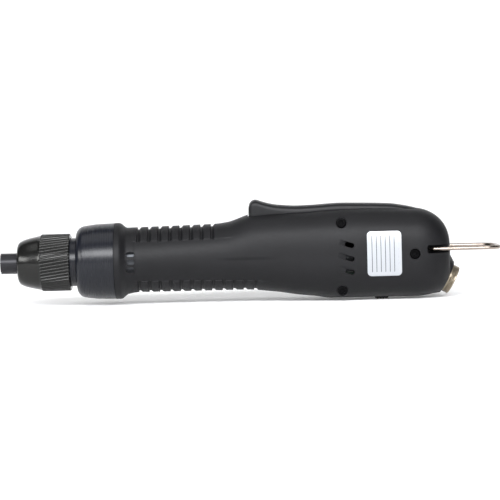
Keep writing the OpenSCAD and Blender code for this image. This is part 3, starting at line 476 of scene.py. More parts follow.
class Workshop:
    """Keeps the built materials and turns bmesh forms into finished, riding pieces."""

    def __init__(self) -> None:
        """Starts with no materials."""
        self.materials: dict[Finish, bpy.types.Material] = {}

    def material(self, finish: Finish) -> bpy.types.Material:
        """Gives the material of a finish, built once.

        Args:
            finish: The finish.

        Returns:
            Its material.
        """
        if finish not in self.materials:
            self.materials[finish] = finish.build()
        return self.materials[finish]

    def dress_cad(self, nodes: dict[str, bpy.types.Object]) -> None:
        """Gives every CAD node its finish.

        Args:
            nodes: CAD node objects by name.
        """
        by_node = {name: finish for finish, names in CAD_FINISHES.items() for name in names}
        for name, node in nodes.items():
            material = self.material(by_node.get(name, BRIGHT_STEEL))
            node.data.materials.clear()
            node.data.materials.append(material)
            log.info("CAD node %s is %s", name, material.name)

    def finish(
        self, name: str, form: bmesh.types.BMesh, finish: Finish, body: str, slot: str,
        nodes: Sequence[str], crease: float = 32.0,
    ) -> bpy.types.Object:
        """Turns a form in millimetres into a finished piece in metres.

        Args:
            name: Name of the piece.
            form: Closed form, which is freed here.
            finish: Its finish.
            body: CAD body that it rides on.
            slot: Material slot of the record; not used.
            nodes: CAD nodes that it stands for.
            crease: Edges sharper than this angle, in degrees, stay sharp.

        Returns:
            The finished object.
        """
        bmesh.ops.recalc_face_normals(form, faces=form.faces)
        for face in form.faces:
            face.smooth = True
        for rim in form.edges:
            rim.smooth = not (rim.is_manifold and rim.calc_face_angle(0) > math.radians(crease))
        bmesh.ops.scale(form, vec=(MM, MM, MM), verts=form.verts)
        mesh = bpy.data.meshes.new(name)
        form.to_mesh(mesh)
        form.free()
        mesh.materials.append(self.material(finish))
        piece = bpy.data.objects.new(name, mesh)
        bpy.context.scene.collection.objects.link(piece)
        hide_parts(*nodes)
        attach(piece, body)
        log.info("%s: %d faces, stands for %s", name, len(mesh.polygons), ", ".join(nodes))
        return piece


# ---------- forms, in millimetres ----------
def draped_grid(
    columns: Sequence[float], rows: Sequence[float], place: Callable[[float, float], Place]
) -> bmesh.types.BMesh:
    """Lays a flat grid over a surface, and closes the seams where its edges meet.

    Args:
        columns: First coordinate of each grid column.
        rows: Second coordinate of each grid row.
        place: Point of the surface for a column and a row.

    Returns:
        The grid as a new form.
    """
    form = bmesh.new()
    bmesh.ops.create_grid(form, x_segments=len(columns) - 1, y_segments=len(rows) - 1, size=1)
    for vert in form.verts:
        i = round((vert.co.x + 1) / 2 * (len(columns) - 1))
        j = round((vert.co.y + 1) / 2 * (len(rows) - 1))
        vert.co = place(columns[i], rows[j])
    bmesh.ops.remove_doubles(form, verts=form.verts, dist=1e-4)
    return form


def close_ends(form: bmesh.types.BMesh) -> bmesh.types.BMesh:
    """Fills the open ends of a tube-like form and returns it.

    Args:
        form: Form with open ends.

    Returns:
        The same form, closed.
    """
    rims = [e for e in form.edges if e.is_boundary]
    bmesh.ops.holes_fill(form, edges=rims, sides=0)
    bmesh.ops.recalc_face_normals(form, faces=form.faces)
    return form


def rounded(corners: Sequence[tuple[float, float, float]], steps: int = 4) -> list[tuple[float, float]]:
    """Rounds the corners of a closed outline.

    Args:
        corners: (x, radius, fillet) of each corner; a fillet of 0 stays sharp.
        steps: Pieces of each rounding.

    Returns:
        The outline's points.
    """
    points: list[tuple[float, float]] = []
    count = len(corners)
    for i, (x, r, fillet) in enumerate(corners):
        here = Vector((x, r))
        back = Vector(corners[i - 1][:2]) - here
        ahead = Vector(corners[(i + 1) % count][:2]) - here
        reach = min(fillet, 0.45 * back.length, 0.45 * ahead.length)
        if reach <= 0:
            points.append((x, r))
            continue
        start, end = here + back.normalized() * reach, here + ahead.normalized() * reach
        for k in range(steps + 1):
            t = k / steps
            point = start * (1 - t) ** 2 + here * 2 * t * (1 - t) + end * t * t
            points.append((point.x, point.y))
    return points


def turned(outline: Sequence[tuple[float, float]], steps: int = 144) -> bmesh.types.BMesh:
    """Turns a closed (x, radius) outline about the X axis.

    Args:
        outline: Points of the section.
        steps: Faces round the axis.

    Returns:
        The turned form.
    """
    form = bmesh.new()
    verts = [form.verts.new((x, 0, r)) for x, r in outline]
    edges = [form.edges.new((verts[i - 1], verts[i])) for i in range(len(verts))]
    bmesh.ops.spin(
        form, geom=[*verts, *edges], cent=(0, 0, 0), axis=(1, 0, 0), angle=math.tau, steps=steps, use_merge=True
    )
    bmesh.ops.remove_doubles(form, verts=form.verts, dist=1e-4)
    bmesh.ops.recalc_face_normals(form, faces=form.faces)
    return form


def rod(
    start: Vector, end: Vector, radius: float, end_radius: float | None = None, sides: int = 48
) -> bmesh.types.BMesh:
    """Makes a round bar or cone between two points.

    Args:
        start: Middle of the first end.
        end: Middle of the second end.
        radius: Radius at the start.
        end_radius: Radius at the end, or None for the same.
        sides: Faces round it.

    Returns:
        The form.
    """
    form = bmesh.new()
    axis = end - start
    turn = axis.to_track_quat("Z", "Y").to_matrix().to_4x4()
    bmesh.ops.create_cone(
        form, cap_ends=True, segments=sides, radius1=radius, radius2=radius if end_radius is None else end_radius,
        depth=axis.length, matrix=Matrix.Translation((start + end) / 2) @ turn,
    )
    return form


def block(low: Sequence[float], high: Sequence[float], fillet: float = 0.0) -> bmesh.types.BMesh:
    """Makes a block between two corners.

    Args:
        low: Lowest corner.
        high: Highest corner.
        fillet: Radius of its edges, or 0.

    Returns:
        The form.
    """
    form = bmesh.new()
    low, high = Vector(low), Vector(high)
    bmesh.ops.create_cube(form, size=1, matrix=Matrix.Translation((low + high) / 2))
    bmesh.ops.scale(form, vec=high - low, verts=form.verts, space=Matrix.Translation(-(low + high) / 2))
    if fillet > 0:
        bmesh.ops.bevel(
            form, geom=form.edges, offset=fillet, segments=4, profile=0.5, affect="EDGES", material=-1,
            clamp_overlap=True,
        )
    return form


def slot_bar(
    length: float, height: float, low_y: float, high_y: float, tilt: float, middle: Vector
) -> bmesh.types.BMesh:
    """Makes a round-ended bar that lies along X and runs across Y.

    Args:
        length: Length over the round ends.
        height: Height of the bar.
        low_y: Lowest Y.
        high_y: Highest Y.
        tilt: Turn about the Y axis, in degrees.
        middle: Middle of the bar in X and Z.

    Returns:
        The form.
    """
    form = bmesh.new()
    bmesh.ops.create_circle(form, cap_ends=True, segments=32, radius=height / 2)
    stretch = (length - height) / 2
    for vert in form.verts:
        vert.co.x += math.copysign(stretch, vert.co.x) if abs(vert.co.x) > 1e-6 else 0.0
    raised = bmesh.ops.extrude_face_region(form, geom=form.faces[:])["geom"]
    top = [v for v in raised if isinstance(v, bmesh.types.BMVert)]
    bmesh.ops.translate(form, vec=(0, 0, high_y - low_y), verts=top)
    stand = Matrix.Rotation(math.radians(90), 4, "X")
    turn = Matrix.Rotation(math.radians(tilt), 4, "Y")
    bmesh.ops.transform(
        form, matrix=Matrix.Translation((middle.x, high_y, middle.z)) @ turn @ stand, verts=form.verts
    )
    bmesh.ops.recalc_face_normals(form, faces=form.faces)
    return form


def tube(path: Sequence[Vector], radius: float, sides: int = 20) -> bmesh.types.BMesh:
    """Sweeps a round wire along a path, with closed ends.

    Args:
        path: Points of the middle line.
        radius: Radius of the wire.
        sides: Faces round it.

    Returns:
        The form.
    """
    last = len(path) - 1
    ways = [(path[min(i + 1, last)] - path[max(i - 1, 0)]).normalized() for i in range(last + 1)]
    side = ways[0].orthogonal().normalized()
    frames = []
    for way in ways:
        side = (side - way * side.dot(way)).normalized()
        frames.append((side.copy(), way.cross(side)))

    def place(i: float, angle: float) -> Place:
        """Point of the wire's skin at path point i.

        Args:
            i: Number of the path point.
            angle: Direction round the wire, in radians.

        Returns:
            The point.
        """
        out, up = frames[int(i)]
        point = path[int(i)] + radius * (math.cos(angle) * out + math.sin(angle) * up)
        return point.x, point.y, point.z

    return close_ends(draped_grid(range(last + 1), spread(0, math.tau, sides), place))


class Cut(Enum):
    """What a boolean step does with its tools."""

    AWAY = "DIFFERENCE"
    JOIN = "UNION"


def carve(form: bmesh.types.BMesh, tools: Sequence[bmesh.types.BMesh], how: Cut = Cut.AWAY) -> bmesh.types.BMesh:
    """Cuts closed tools out of a closed form, or joins them to it.

    Args:
        form: Closed form, which is freed.
        tools: Closed tools, which are freed.
        how: Whether the tools are cut away or joined.

    Returns:
        The new form.
    """
    scene = bpy.context.scene.collection
    holders = []
    for part in (form, *tools):
        bmesh.ops.recalc_face_normals(part, faces=part.faces)
        mesh = bpy.data.meshes.new("carve")
        part.to_mesh(mesh)
        part.free()
        holder = bpy.data.objects.new("carve", mesh)
        scene.objects.link(holder)
        holders.append(holder)
    base = holders[0]
    for tool in holders[1:]:
        step = base.modifiers.new("carve", "BOOLEAN")
        step.operation = how.value
        step.solver = "MANIFOLD"
        step.object = tool
    bpy.context.view_layer.update()
    done = bpy.data.meshes.new_from_object(base.evaluated_get(bpy.context.evaluated_depsgraph_get()))
    result = bmesh.new()
    result.from_mesh(done)
    for holder in holders:
        spare = holder.data
        bpy.data.objects.remove(holder)
        bpy.data.meshes.remove(spare)
    bpy.data.meshes.remove(done)
    bmesh.ops.remove_doubles(result, verts=result.verts, dist=1e-4)
    return result


# ---------- the nose ----------
@dataclass
class Nose:
    """Bit sleeve, torque nut and anodised collar, turned about the X axis."""

    flutes: int = 56
    slant: float = 8.0
    flute_r: float = 0.75
    flute_rise: float = 0.32
    samples: int = 10
    bore_gap: float = 0.35
    joint: float = 1.7

    def sleeve(self, shop: Workshop) -> None:
        """Builds the sliding bit sleeve with softly rounded rims.

        Args:
            shop: Workshop that finishes the pieces.
        """
        low, high = mm_box("bit_sleeve")
        r, bore, pocket = high.z, 4.55, 5.1
        outline = rounded(
            [
                (low.x, pocket, 0.15), (low.x, r, 0.75), (high.x, r, 0.35), (high.x, pocket, 0.1),
                (low.x + 7.45, pocket, 0), (low.x + 7.45, bore, 0.1), (low.x + 2.65, bore, 0.1),
                (low.x + 2.65, pocket, 0),
            ],
            steps=6,
        )
        shop.finish("bit_sleeve_turned", turned(outline), BLACK_OXIDE, "sleeve", "blackened_steel", ["bit_sleeve"])

    def nut_radius(self, x: float, start: float, end: float, r: float) -> float:
        """Radius of the nut's plain skin at x.

        Args:
            x: Place on the axis.
            start: Front face of the nut.
            end: Rear face of the nut.
            r: Radius over the knurl.

        Returns:
            The radius before fluting.
        """
        line = SmoothLine(
            (
                (0, r - 6.2), (0.35, r - 5.1), (1.0, r - 4.15), (3.1, r - 3.05), (5.5, r - 2.25), (10, r - 1.2),
                (12.3, r - 0.7), (13.0, r - 0.35), (13.4, r - 0.04), (14, r), (end - start - 0.7, r),
                (end - start - 0.3, r - 0.2), (end - start, r - 0.7),
            )
        )
        return line.at(x - start)

    def nut(self, shop: Workshop) -> None:
        """Builds the torque nut: a polished cone and a band of slanted flutes.

        Args:
            shop: Workshop that finishes the pieces.
        """
        low, high = mm_box("torque_nut")
        r = high.z
        sleeve_bore = mm_box("bit_sleeve")[1].z + self.bore_gap
        tube_r = 12.1
        knurl = low.x + 12.0
        outer = [
            low.x + d for d in (0, 0.08, 0.2, 0.35, 0.6, 1, 1.5, 2.2, 3.1, 4.2, 5.5, 7, 8.5, 10, 11, 12, 12.4, 12.7)
        ]
        outer += [low.x + d for d in (12.85, 13.0, 13.1, 13.25, 13.4, 13.7, 14)]
        outer += spread(low.x + 15.5, high.x - 1, 9) + [high.x - d for d in (0.7, 0.5, 0.3, 0.15, 0)]
        inner = [
            (high.x, tube_r + 1.3), (high.x - 4, tube_r + 1.3), (high.x - 4, tube_r), (low.x + 5.5, tube_r),
            (low.x + 5.5, sleeve_bore), (low.x, sleeve_bore),
        ]
        path = [(x, -1.0) for x in outer] + inner + [(low.x, -1.0)]
        pitch = math.tau * r / self.flutes
        count = self.flutes * self.samples

        def place(step: float, column: float) -> Place:
            """Point of the nut for a step of its section and a column round it.

            Args:
                step: Number of the point of the section.
                column: Number of the column round the axis.

            Returns:
                The point.
            """
            x, radius = path[int(step)]
            if radius < 0:
                radius = self.nut_radius(x, low.x, high.x, r)
                off = ((column / self.samples + 0.5) % 1 - 0.5) * pitch
                if x > knurl and abs(off) < self.flute_r:
                    radius = min(radius, r - math.sqrt(self.flute_r**2 - off**2) + self.flute_rise)
            shear = math.tan(math.radians(self.slant)) * (x - low.x) / r
            angle = math.tau * column / count + shear
            return x, radius * math.sin(angle), radius * math.cos(angle)

        form = draped_grid(range(len(path)), range(count + 1), place)
        shop.finish("torque_nut_fluted", form, ANODISED_NUT, "nut", "anodised_nut", ["torque_nut"], crease=28)

    def collar(self, shop: Workshop) -> None:
        """Builds the anodised collar with its tube, left plain without a thread, its neck and rounded shoulder.

        Args:
            shop: Workshop that finishes the pieces.
        """
        low, high = mm_box("front_collar")
        housing = mm_box("housing_left")[0].x
        joint = housing + self.joint
        nut_end = mm_box("torque_nut")[1].x
        r, tube_r, inner_tube, chamber_r, spigot, flange = high.z, 12.0, 10.2, 12.5, 15.5, 17.5
        collar = nut_end + 3.5
        corners = [
            (low.x, inner_tube, 0.1), (low.x, tube_r, 0.4), (nut_end, tube_r, 0), (nut_end, tube_r + 1.2, 0.2),
            (collar - 0.05, tube_r + 1.2, 0.1), (collar, r - 5.2, 0.1), (collar + 0.25, r - 3.7, 0.5),
            (collar + 1.6, r - 1.85, 1.2), (collar + 3.6, r - 0.95, 1.6), (collar + 8, r - 0.38, 2.5),
            (collar + 11, r, 1.5), (joint - 0.1, r + 0.35, 0.35), (joint - 0.1, spigot, 0), (housing + 2.5, spigot, 0),
            (housing + 2.5, flange, 0.2), (high.x, flange, 0.2), (high.x, chamber_r, 0.1),
            (collar + 4.3, chamber_r, 0.1), (collar + 4.3, inner_tube, 0),
        ]
        shop.finish(
            "front_collar_turned", turned(rounded(corners), 180), ANODISED_COLLAR, "housing", "anodised_collar",
            ["front_collar"],
        )

    def build(self, shop: Workshop) -> None:
        """Builds the three nose pieces.

        Args:
            shop: Workshop that finishes the pieces.
        """
        self.sleeve(shop)
        self.nut(shop)
        self.collar(shop)


# ---------- the housing ----------
@dataclass
class Housing:
    """The two moulded housing halves: ribbed grip, swelling rear and rounded tail."""

    front_x: float
    end_x: float
    joint: float = 1.7
    tail_len: float = 20.0
    wall: float = 2.4
    seam: float = 0.05
    flange_r: float = 20.9
    rear_flat: tuple[float, float, float] = (7.3, 15.4, 8.0)
    first_groove: float = 13.85
    groove_pitch: float = 5.75
    top_grooves: int = 8
    bottom_grooves: int = 12
    top_depth: float = 1.3
    bottom_depth: float = 0.9
    grip_angle: float = 38.0
    panel_depth: float = 0.38
    screw_head: float = 2.9
    boss_r: float = 3.2
    shank_hole_r: float = 1.65
    spigot_bay_r: float = 15.55
    flange_bay_r: float = 17.55
    gearbox_bay_r: float = 14.95
    motor_bay_r: float = 14.1
    bearing_bay_r: float = 6.5
    lever_gap: float = 0.4
    lever_floor_z: float = 16.5
    connector_bore_r: float = 7.9
    nut_pocket_r: float = 10.8
    knob_travel: float = 2.1
    bail_wall_y: float = 12.8
    bail_hole_r: float = 1.1
    vent_pitch: float = 7.2
    vent_tilt: float = 17.8
    front_vent_pitch: float = 4.2
    outside: float = 30.0

    def __post_init__(self) -> None:
        """Works out the outline from the driving sizes."""
        body = self.end_x - self.tail_len - self.front_x
        f = self.flange_r
        self.body_len = body
        self.tail_x = self.front_x + body
        self.top = SmoothLine(
            (
                (0, f - 0.5), (0.4, f), (4, f), (8.5, 18.2), (14.5, 18.3), (56.5, 19.1), (63.5, 19.9), (68.5, 21.4),
                (72.5, 22.9), (76.5, 24.1), (84, 24.6), (103.5, 25), (120, 25.9), (136.5, 26.2), (152.5, 25.8),
                (body, 25.2),
            )
        )
        self.bottom = SmoothLine(
            (
                (0, f - 0.5), (0.4, f), (4, f), (8.5, 18.2), (14.5, 17.5), (73.5, 17.5), (82.5, 18.2), (91.5, 19.2),
                (100.5, 20.7), (111, 21.9), (119.5, 23.1), (154.5, 23.2), (body, 23.3),
            )
        )
        self.side = SmoothLine(
            (
                (0, f - 0.5), (0.4, f), (4, f), (8.5, 18.2), (14.5, 17.8), (60, 17.8), (80, 18.6), (105, 20.6),
                (125, 21.9), (150, 21.995), (body, 21.5),
            )
        )
        self.square = SmoothLine(((0, 2), (14, 2), (60, 2.3), (110, 2.8), (body, 2.8)))
        self.groove = SmoothLine(((0, 0), (0.22, 1), (1.0, 1), (2.3, 0.06), (2.7, 0)))
        self.screws = (
            (self.front_x + 125, 18.4, -15.8), (self.front_x + 125, -18.4, -15.8), (self.tail_x - 0.2, 0.8, -17.5)
        )
        self.face = Vector((self.tail_x + 18.7, 0, -13.6))
        self.face_axis = Matrix.Rotation(math.radians(90 + 27.4), 3, "Y") @ Vector((0, 0, 1))

    def groove_share(self, u: float, count: int) -> float:
        """Share of the full groove depth at u, for a row of count grooves.

        Args:
            u: Distance from the front of the housing.
            count: Grooves in the row.

        Returns:
            The share, from 0 to 1.
        """
        step = (u - self.first_groove) / self.groove_pitch
        index = math.floor(step + 1e-6)
        if index < 0 or index >= count:
            return 0.0
        return self.groove.at((step - index) * self.groove_pitch)

    def skin(self, x: float, angle: float, inset: float = 0.0) -> Place:
        """Point of the housing's skin.

        Args:
            x: Place on the axis.
            angle: Direction from the axis in degrees; 90 is up, 0 the label side, -90 down, 180 the other side.
            inset: Distance inside the plain skin; grooves are left out of an inset skin.

        Returns:
            The point in millimetres.
        """
        u = min(x - self.front_x, self.body_len)
        turn = 0.0
        if x > self.tail_x:
            turn = math.asin(min(1.0, (x - self.tail_x) / (self.tail_len - inset)))
        full = (self.top.at(u), self.bottom.at(u), self.side.at(u))
        top, bottom, side = (
            flat + (size - flat) * math.cos(turn) - inset for flat, size in zip(self.rear_flat, full)
        )
        power = self.square.at(u)
        across, up = math.cos(math.radians(angle)), math.sin(math.radians(angle))
        tall = top if up > 0 else bottom
        reach = (abs(across / side) ** power + abs(up / tall) ** power) ** (-1 / power)
        if inset == 0:
            band = smoothstep(abs(angle), self.grip_angle - 0.7, self.grip_angle + 0.7)
            if angle > 0:
                cut = self.top_depth * self.groove_share(u, self.top_grooves)
            else:
                cut = self.bottom_depth * self.groove_share(u, self.bottom_grooves)
            last = self.top_grooves if angle > 0 else self.bottom_grooves
            rear = self.first_groove + self.groove_pitch * last
            panel = smoothstep(u, 11.5, 13.6) * (1 - smoothstep(u, rear - 4, rear + 9))
            reach -= band * cut + (1 - band) * self.panel_depth * panel
        return x, -reach * across, reach * up

    def stations(self) -> list[float]:
        """Lists the places along the axis where the outer skin has a ring.

        Returns:
            The places, closer together in the grooves and round the tail.
        """
        u = [self.joint, self.joint + 0.1, 2, 2.5, 3, 4, 4.5, 5, 5.6, 6.2, 6.8, 7.4, 8, 8.5, 9.2]
        u += [10, 10.8, 11.6, 12.4, 13.2, 13.6]
        profile = (0, 0.06, 0.12, 0.22, 0.5, 0.8, 1.0, 1.2, 1.45, 1.7, 1.95, 2.15, 2.3, 2.5, 2.7, 3.3, 4.0, 4.8, 5.5)
        for k in range(self.bottom_grooves):
            u += [self.first_groove + k * self.groove_pitch + p for p in profile]
        grip_end = self.first_groove + self.bottom_grooves * self.groove_pitch
        u += spread(grip_end, self.body_len, 60)
        tail = [self.tail_x + self.tail_len * math.sin(math.radians(3 * k)) for k in range(1, 31)]
        return [self.front_x + d for d in u] + tail

    def angles(self) -> list[float]:
        """Lists the directions of one half's skin, from the top seam to the bottom seam.

        Returns:
            The directions in degrees, closer together where the ribs end.
        """
        half = [90, 89.4, 88.6, 87] + spread(84, 42, 14) + [40.4, 39.2]
        half += [self.grip_angle + d for d in (0.7, 0.35, 0, -0.35, -0.7, -1.2)] + [35] + spread(32, 2, 12)
        return half + [0] + [-a for a in reversed(half)]

    def half_skin(self) -> bmesh.types.BMesh:
        """Lofts the solid label-side half, which closes on the seam.

        Returns:
            The solid half.
        """
        angles = self.angles()
        rows = [*angles, angles[0]]

        def place(x: float, row: float) -> Place:
            """Point of the half's skin, kept on its own side of the seam."""
            px, py, pz = self.skin(x, rows[int(row)])
            return px, min(py, -self.seam), pz

        return close_ends(draped_grid(self.stations(), range(len(rows)), place))

    def on_face(self, distance: float) -> Vector:
        """Point on the connector's axis, at a distance out of its boss."""
        return self.face + self.face_axis * distance

    def boss(self) -> bmesh.types.BMesh:
        """Makes the tapered boss round the connector, cut at the seam.

        Returns:
            The label side's share of the boss.
        """
        cone = rod(self.on_face(-5.4), self.on_face(0), 13.1, 9.3, 96)
        cut = bmesh.ops.bisect_plane(
            cone, geom=[*cone.verts, *cone.edges, *cone.faces], plane_co=(0, -self.seam, 0), plane_no=(0, 1, 0),
            clear_outer=True,
        )
        rims = [e for e in cut["geom_cut"] if isinstance(e, bmesh.types.BMEdge)]
        bmesh.ops.holes_fill(cone, edges=rims, sides=0)
        bmesh.ops.recalc_face_normals(cone, faces=cone.faces)
        return cone

    def chamber(self) -> bmesh.types.BMesh:
        """Makes the hollow of the rear, with the screw bosses and the bail's ledge left standing in it.

        Returns:
            The hollow, to be cut away.
        """
        start = mm_box("motor_end_cap")[1].x + 1.4
        reach = self.tail_len - self.wall
        stations = spread(start, self.tail_x, 24)
        stations += [self.tail_x + reach * math.sin(math.radians(7.5 * k)) for k in range(1, 13)]

        def place(x: float, angle: float) -> Place:
            """Point of the hollow's skin."""
            return self.skin(x, angle, self.wall)

        hollow = close_ends(draped_grid(stations, spread(-180, 180, 60), place))
        features = [rod(Vector((x, -30, z)), Vector((x, 0.5, z)), self.boss_r) for x, z, _ in self.screws]
        features.append(block((self.tail_x + 4, -30, -1.6), (self.end_x + 1, -7.8, 7.6)))
        features.append(rod(self.on_face(-4.5), self.on_face(-2), 11.0))
        return carve(hollow, features)

    def openings(self, with_heads: bool) -> list[bmesh.types.BMesh]:
        """Makes the tools that open one half.

        Args:
            with_heads: Whether the screw heads' counterbores are on this half.

        Returns:
            Closed tools to cut away.
        """
        x0 = self.front_x
        axis = Vector((1, 0, 0))
        motor = mm_box("motor_can")[0].x
        bulkhead = mm_box("motor_end_cap")[1].x - 2.3
        lever_low, lever_high = mm_box("start_lever")
        knob_low, knob_high = mm_box("reverse_knob")
        gap, out = self.lever_gap, self.outside
        pivot_x, pivot_z = self.tail_x + 9, 3
        tools = [
            rod(axis * (x0 - 1), axis * (x0 + 2.5), self.spigot_bay_r),
            rod(axis * (x0 + 2.4), axis * (x0 + 4.6), self.flange_bay_r),
            rod(axis * (x0 + 4.5), axis * (motor + 1.2), self.gearbox_bay_r),
            rod(axis * (motor + 1), axis * bulkhead, self.motor_bay_r),
            rod(axis * (bulkhead - 0.1), axis * (bulkhead + 5), self.bearing_bay_r),
            block((lever_low.x - gap, -lever_high.y - gap, self.lever_floor_z), (lever_high.x + gap, 1, 40)),
            rod(self.on_face(-20), self.on_face(6), self.connector_bore_r),
            rod(self.on_face(0), self.on_face(14), 14, sides=64),
            rod(self.on_face(-7.9), self.on_face(-4.5), self.nut_pocket_r),
            block(
                (knob_low.x - self.knob_travel, knob_low.y - 0.3, -out),
                (knob_high.x + self.knob_travel, 1, -20.12),
            ),
            block((pivot_x - 2.5, -out, pivot_z - 2.2), (self.end_x + 6, -self.bail_wall_y, pivot_z + 2.2), 0.9),
            rod(Vector((pivot_x, -out, pivot_z)), Vector((pivot_x, -8.6, pivot_z)), self.bail_hole_r),
            block((x0 + 95.2, -14.8, -9.7), (x0 + 159.8, 1, -7.9)),
        ]
        lean = Matrix.Rotation(math.radians(self.vent_tilt), 3, "Y")
        for k in (-1, 0, 1):
            front = Vector((x0 + 10.5, 0, self.front_vent_pitch * k))
            tools.append(slot_bar(4.7, 2.8, -out, -13, 0, front))
            middle = Vector((x0 + 127.1, 0, self.vent_pitch * k))
            tools.append(self.vent_ramp(middle))
            if with_heads:
                through = middle + lean @ Vector((2.1, 0, 0))
                tools.append(slot_bar(5.0, 2.7, -out, -17, self.vent_tilt, through))
        if with_heads:
            for x, z, seat in self.screws:
                tools.append(rod(Vector((x, -out, z)), Vector((x, seat, z)), self.screw_head))
                tools.append(rod(Vector((x, -out, z)), Vector((x, 1, z)), self.shank_hole_r, sides=32))
        return tools

    def reach_at(self, x: float, z: float) -> float:
        """Finds how far the plain skin stands from the seam at x and z.

        Args:
            x: Place on the axis.
            z: Height.

        Returns:
            The distance across Y.
        """
        angle = math.degrees(math.atan2(z, self.side.at(min(x - self.front_x, self.body_len))))
        for _ in range(20):
            _, y, height = self.skin(x, angle)
            angle += (z - height) * 1.6
        return -y

    def vent_ramp(self, middle: Vector) -> bmesh.types.BMesh:
        """Makes the shallow slot that leads into a rear vent, deeper towards its rear.

        Args:
            middle: Middle of the vent in X and Z.

        Returns:
            The slot, to be cut away.
        """
        form = slot_bar(9.4, 2.8, -self.outside, -20.4, self.vent_tilt, middle)
        for vert in form.verts:
            if vert.co.y > -25:
                vert.co.y -= 1.5 * smoothstep(middle.x + 1.0 - vert.co.x, 0, 6.0)
        return form

    def build(self, shop: Workshop) -> None:
        """Builds both halves and their screws.

        Args:
            shop: Workshop that finishes the pieces.
        """
        for side, mirror in (("left", 1), ("right", -1)):
            form = carve(self.half_skin(), [self.boss()], Cut.JOIN)
            form = carve(form, [self.chamber(), *self.openings(mirror == 1)])
            if mirror < 0:
                bmesh.ops.scale(form, vec=(1, -1, 1), verts=form.verts)
                bmesh.ops.reverse_faces(form, faces=form.faces)
            shop.finish(
                f"housing_{side}_shell", form, NYLON, "housing", "moulded_black_plastic", [f"housing_{side}"], crease=35
            )
        self.screw_set(shop)

    def screw_set(self, shop: Workshop) -> None:
        """Builds the three socket-head screws.

        Args:
            shop: Workshop that finishes the pieces.
        """
        whole = bmesh.new()
        for x, z, seat in self.screws:
            outline = rounded(
                [(0, 0, 0), (0, 2.7, 0.15), (2.2, 2.7, 0.5), (2.2, 0, 0)], steps=4
            )
            head = turned(outline, 48)
            socket = rod(Vector((0.7, 0, 0)), Vector((3, 0, 0)), 1.55, sides=6)
            chamfer = rod(Vector((2.0, 0, 0)), Vector((2.6, 0, 0)), 1.45, 2.0, 32)
            shank = rod(Vector((-24, 0, 0)), Vector((0.1, 0, 0)), 1.5, sides=32)
            head = carve(carve(head, [socket, chamfer]), [shank], Cut.JOIN)
            turn = Matrix.Rotation(math.radians(-90), 4, "Z")
            bmesh.ops.transform(head, matrix=Matrix.Translation((x, seat, z)) @ turn, verts=head.verts)
            mesh = bpy.data.meshes.new("screw")
            head.to_mesh(mesh)
            head.free()
            whole.from_mesh(mesh)
            bpy.data.meshes.remove(mesh)
        # The screws take the near-black finish, which carries painted shade of their counterbores as well as their own
        # black oxide.
        shop.finish(
            "housing_screw_set", whole, SCREW_BLACK_AND_HOLE_SHADE, "housing", "blackened_steel", ["housing_screws"], crease=30
        )


# ---------- lever, knob and label ----------
@dataclass
class Lever:
    """The long start lever with its raised thumb nose."""

    half_w: float = 7.5
    low_z: float = 21.2
    ceiling: float = 25.6
    nose_round: float = 2.6

    def build(self, shop: Workshop) -> None:
        """Builds the lever as one lofted form, hollow underneath.

        Args:
            shop: Workshop that finishes the pieces.
        """
        low, high = mm_box("start_lever")
        length = high.x - low.x
        top = SmoothLine(
            (
                (0, 27.2), (0.35, 28.9), (1, 30.3), (2.1, 31.3), (3.9, 31.8), (6.4, 31.05), (10.9, 29.7), (15.4, 28.8),
                (26.4, 28), (35.4, 28.2), (49.4, 28.9), (59.4, 28.7), (76.9, 28), (85.4, 26.7), (length, 25.3),
            )
        )
        crown = SmoothLine(((0, 0), (0.5, -0.2), (0.8, -0.75), (0.92, -1.35), (0.975, -2.2), (1, -3.4)))
        across = [1, 0.995, 0.985, 0.97, 0.945, 0.91, 0.86, 0.8, 0.7, 0.58, 0.45, 0.3, 0.15]
        outline = [(share, crown.at(share)) for share in across]
        ring = [(1.0, None), *outline, (0.0, 0.0), *[(-s, d) for s, d in reversed(outline)], (-1.0, None), (1.0, None)]
        stations = [0, 0.12, 0.3, 0.55, 0.85, 1.2, 1.6, 2.1, 2.7, 3.3, 3.9, 4.6, 5.4, 6.4, 7.5, 9, 10.9, 13]
        stations += spread(15.4, length, 44)

        def place(u: float, row: float) -> Place:
            """Point of the lever's section at distance u.

            Args:
                u: Distance from the nose.
                row: Number of the point of the section.

            Returns:
                The point.
            """
            share, drop = ring[int(row)]
            tuck = max(0.0, self.nose_round - u)
            width = self.half_w - (self.nose_round - math.sqrt(max(0.0, self.nose_round**2 - tuck**2)))
            z = self.low_z if drop is None else top.at(u) + drop
            return low.x + u, width * share, z

        form = close_ends(draped_grid(stations, range(len(ring)), place))
        pivot = Vector((high.x - 6, 0, 21.5))
        barrel = rod(pivot + Vector((0, -7.4, 0)), pivot + Vector((0, 7.4, 0)), 3.2)
        plunger_x = (mm_box("switch_plunger")[0].x + mm_box("switch_plunger")[1].x) / 2
        hollow = block((low.x + 2.6, -5.5, 10), (pivot.x - 12, 5.5, self.ceiling))
        post = rod(Vector((plunger_x, 0, 20.6)), Vector((plunger_x, 0, 31)), 2.5)
        hollow = carve(hollow, [post])
        screw_x = mm_box("housing_left")[0].x + 125
        notch = block((screw_x - 4, -20, 10), (screw_x + 4, 20, 23.7))
        form = carve(carve(form, [hollow]), [barrel], Cut.JOIN)
        form = carve(form, [notch, rod(pivot + Vector((0, -20, 0)), pivot + Vector((0, 20, 0)), 1.55)])
        shop.finish("start_lever_moulded", form, LEVER_NYLON, "lever", "lever_plastic", ["start_lever"], crease=38)


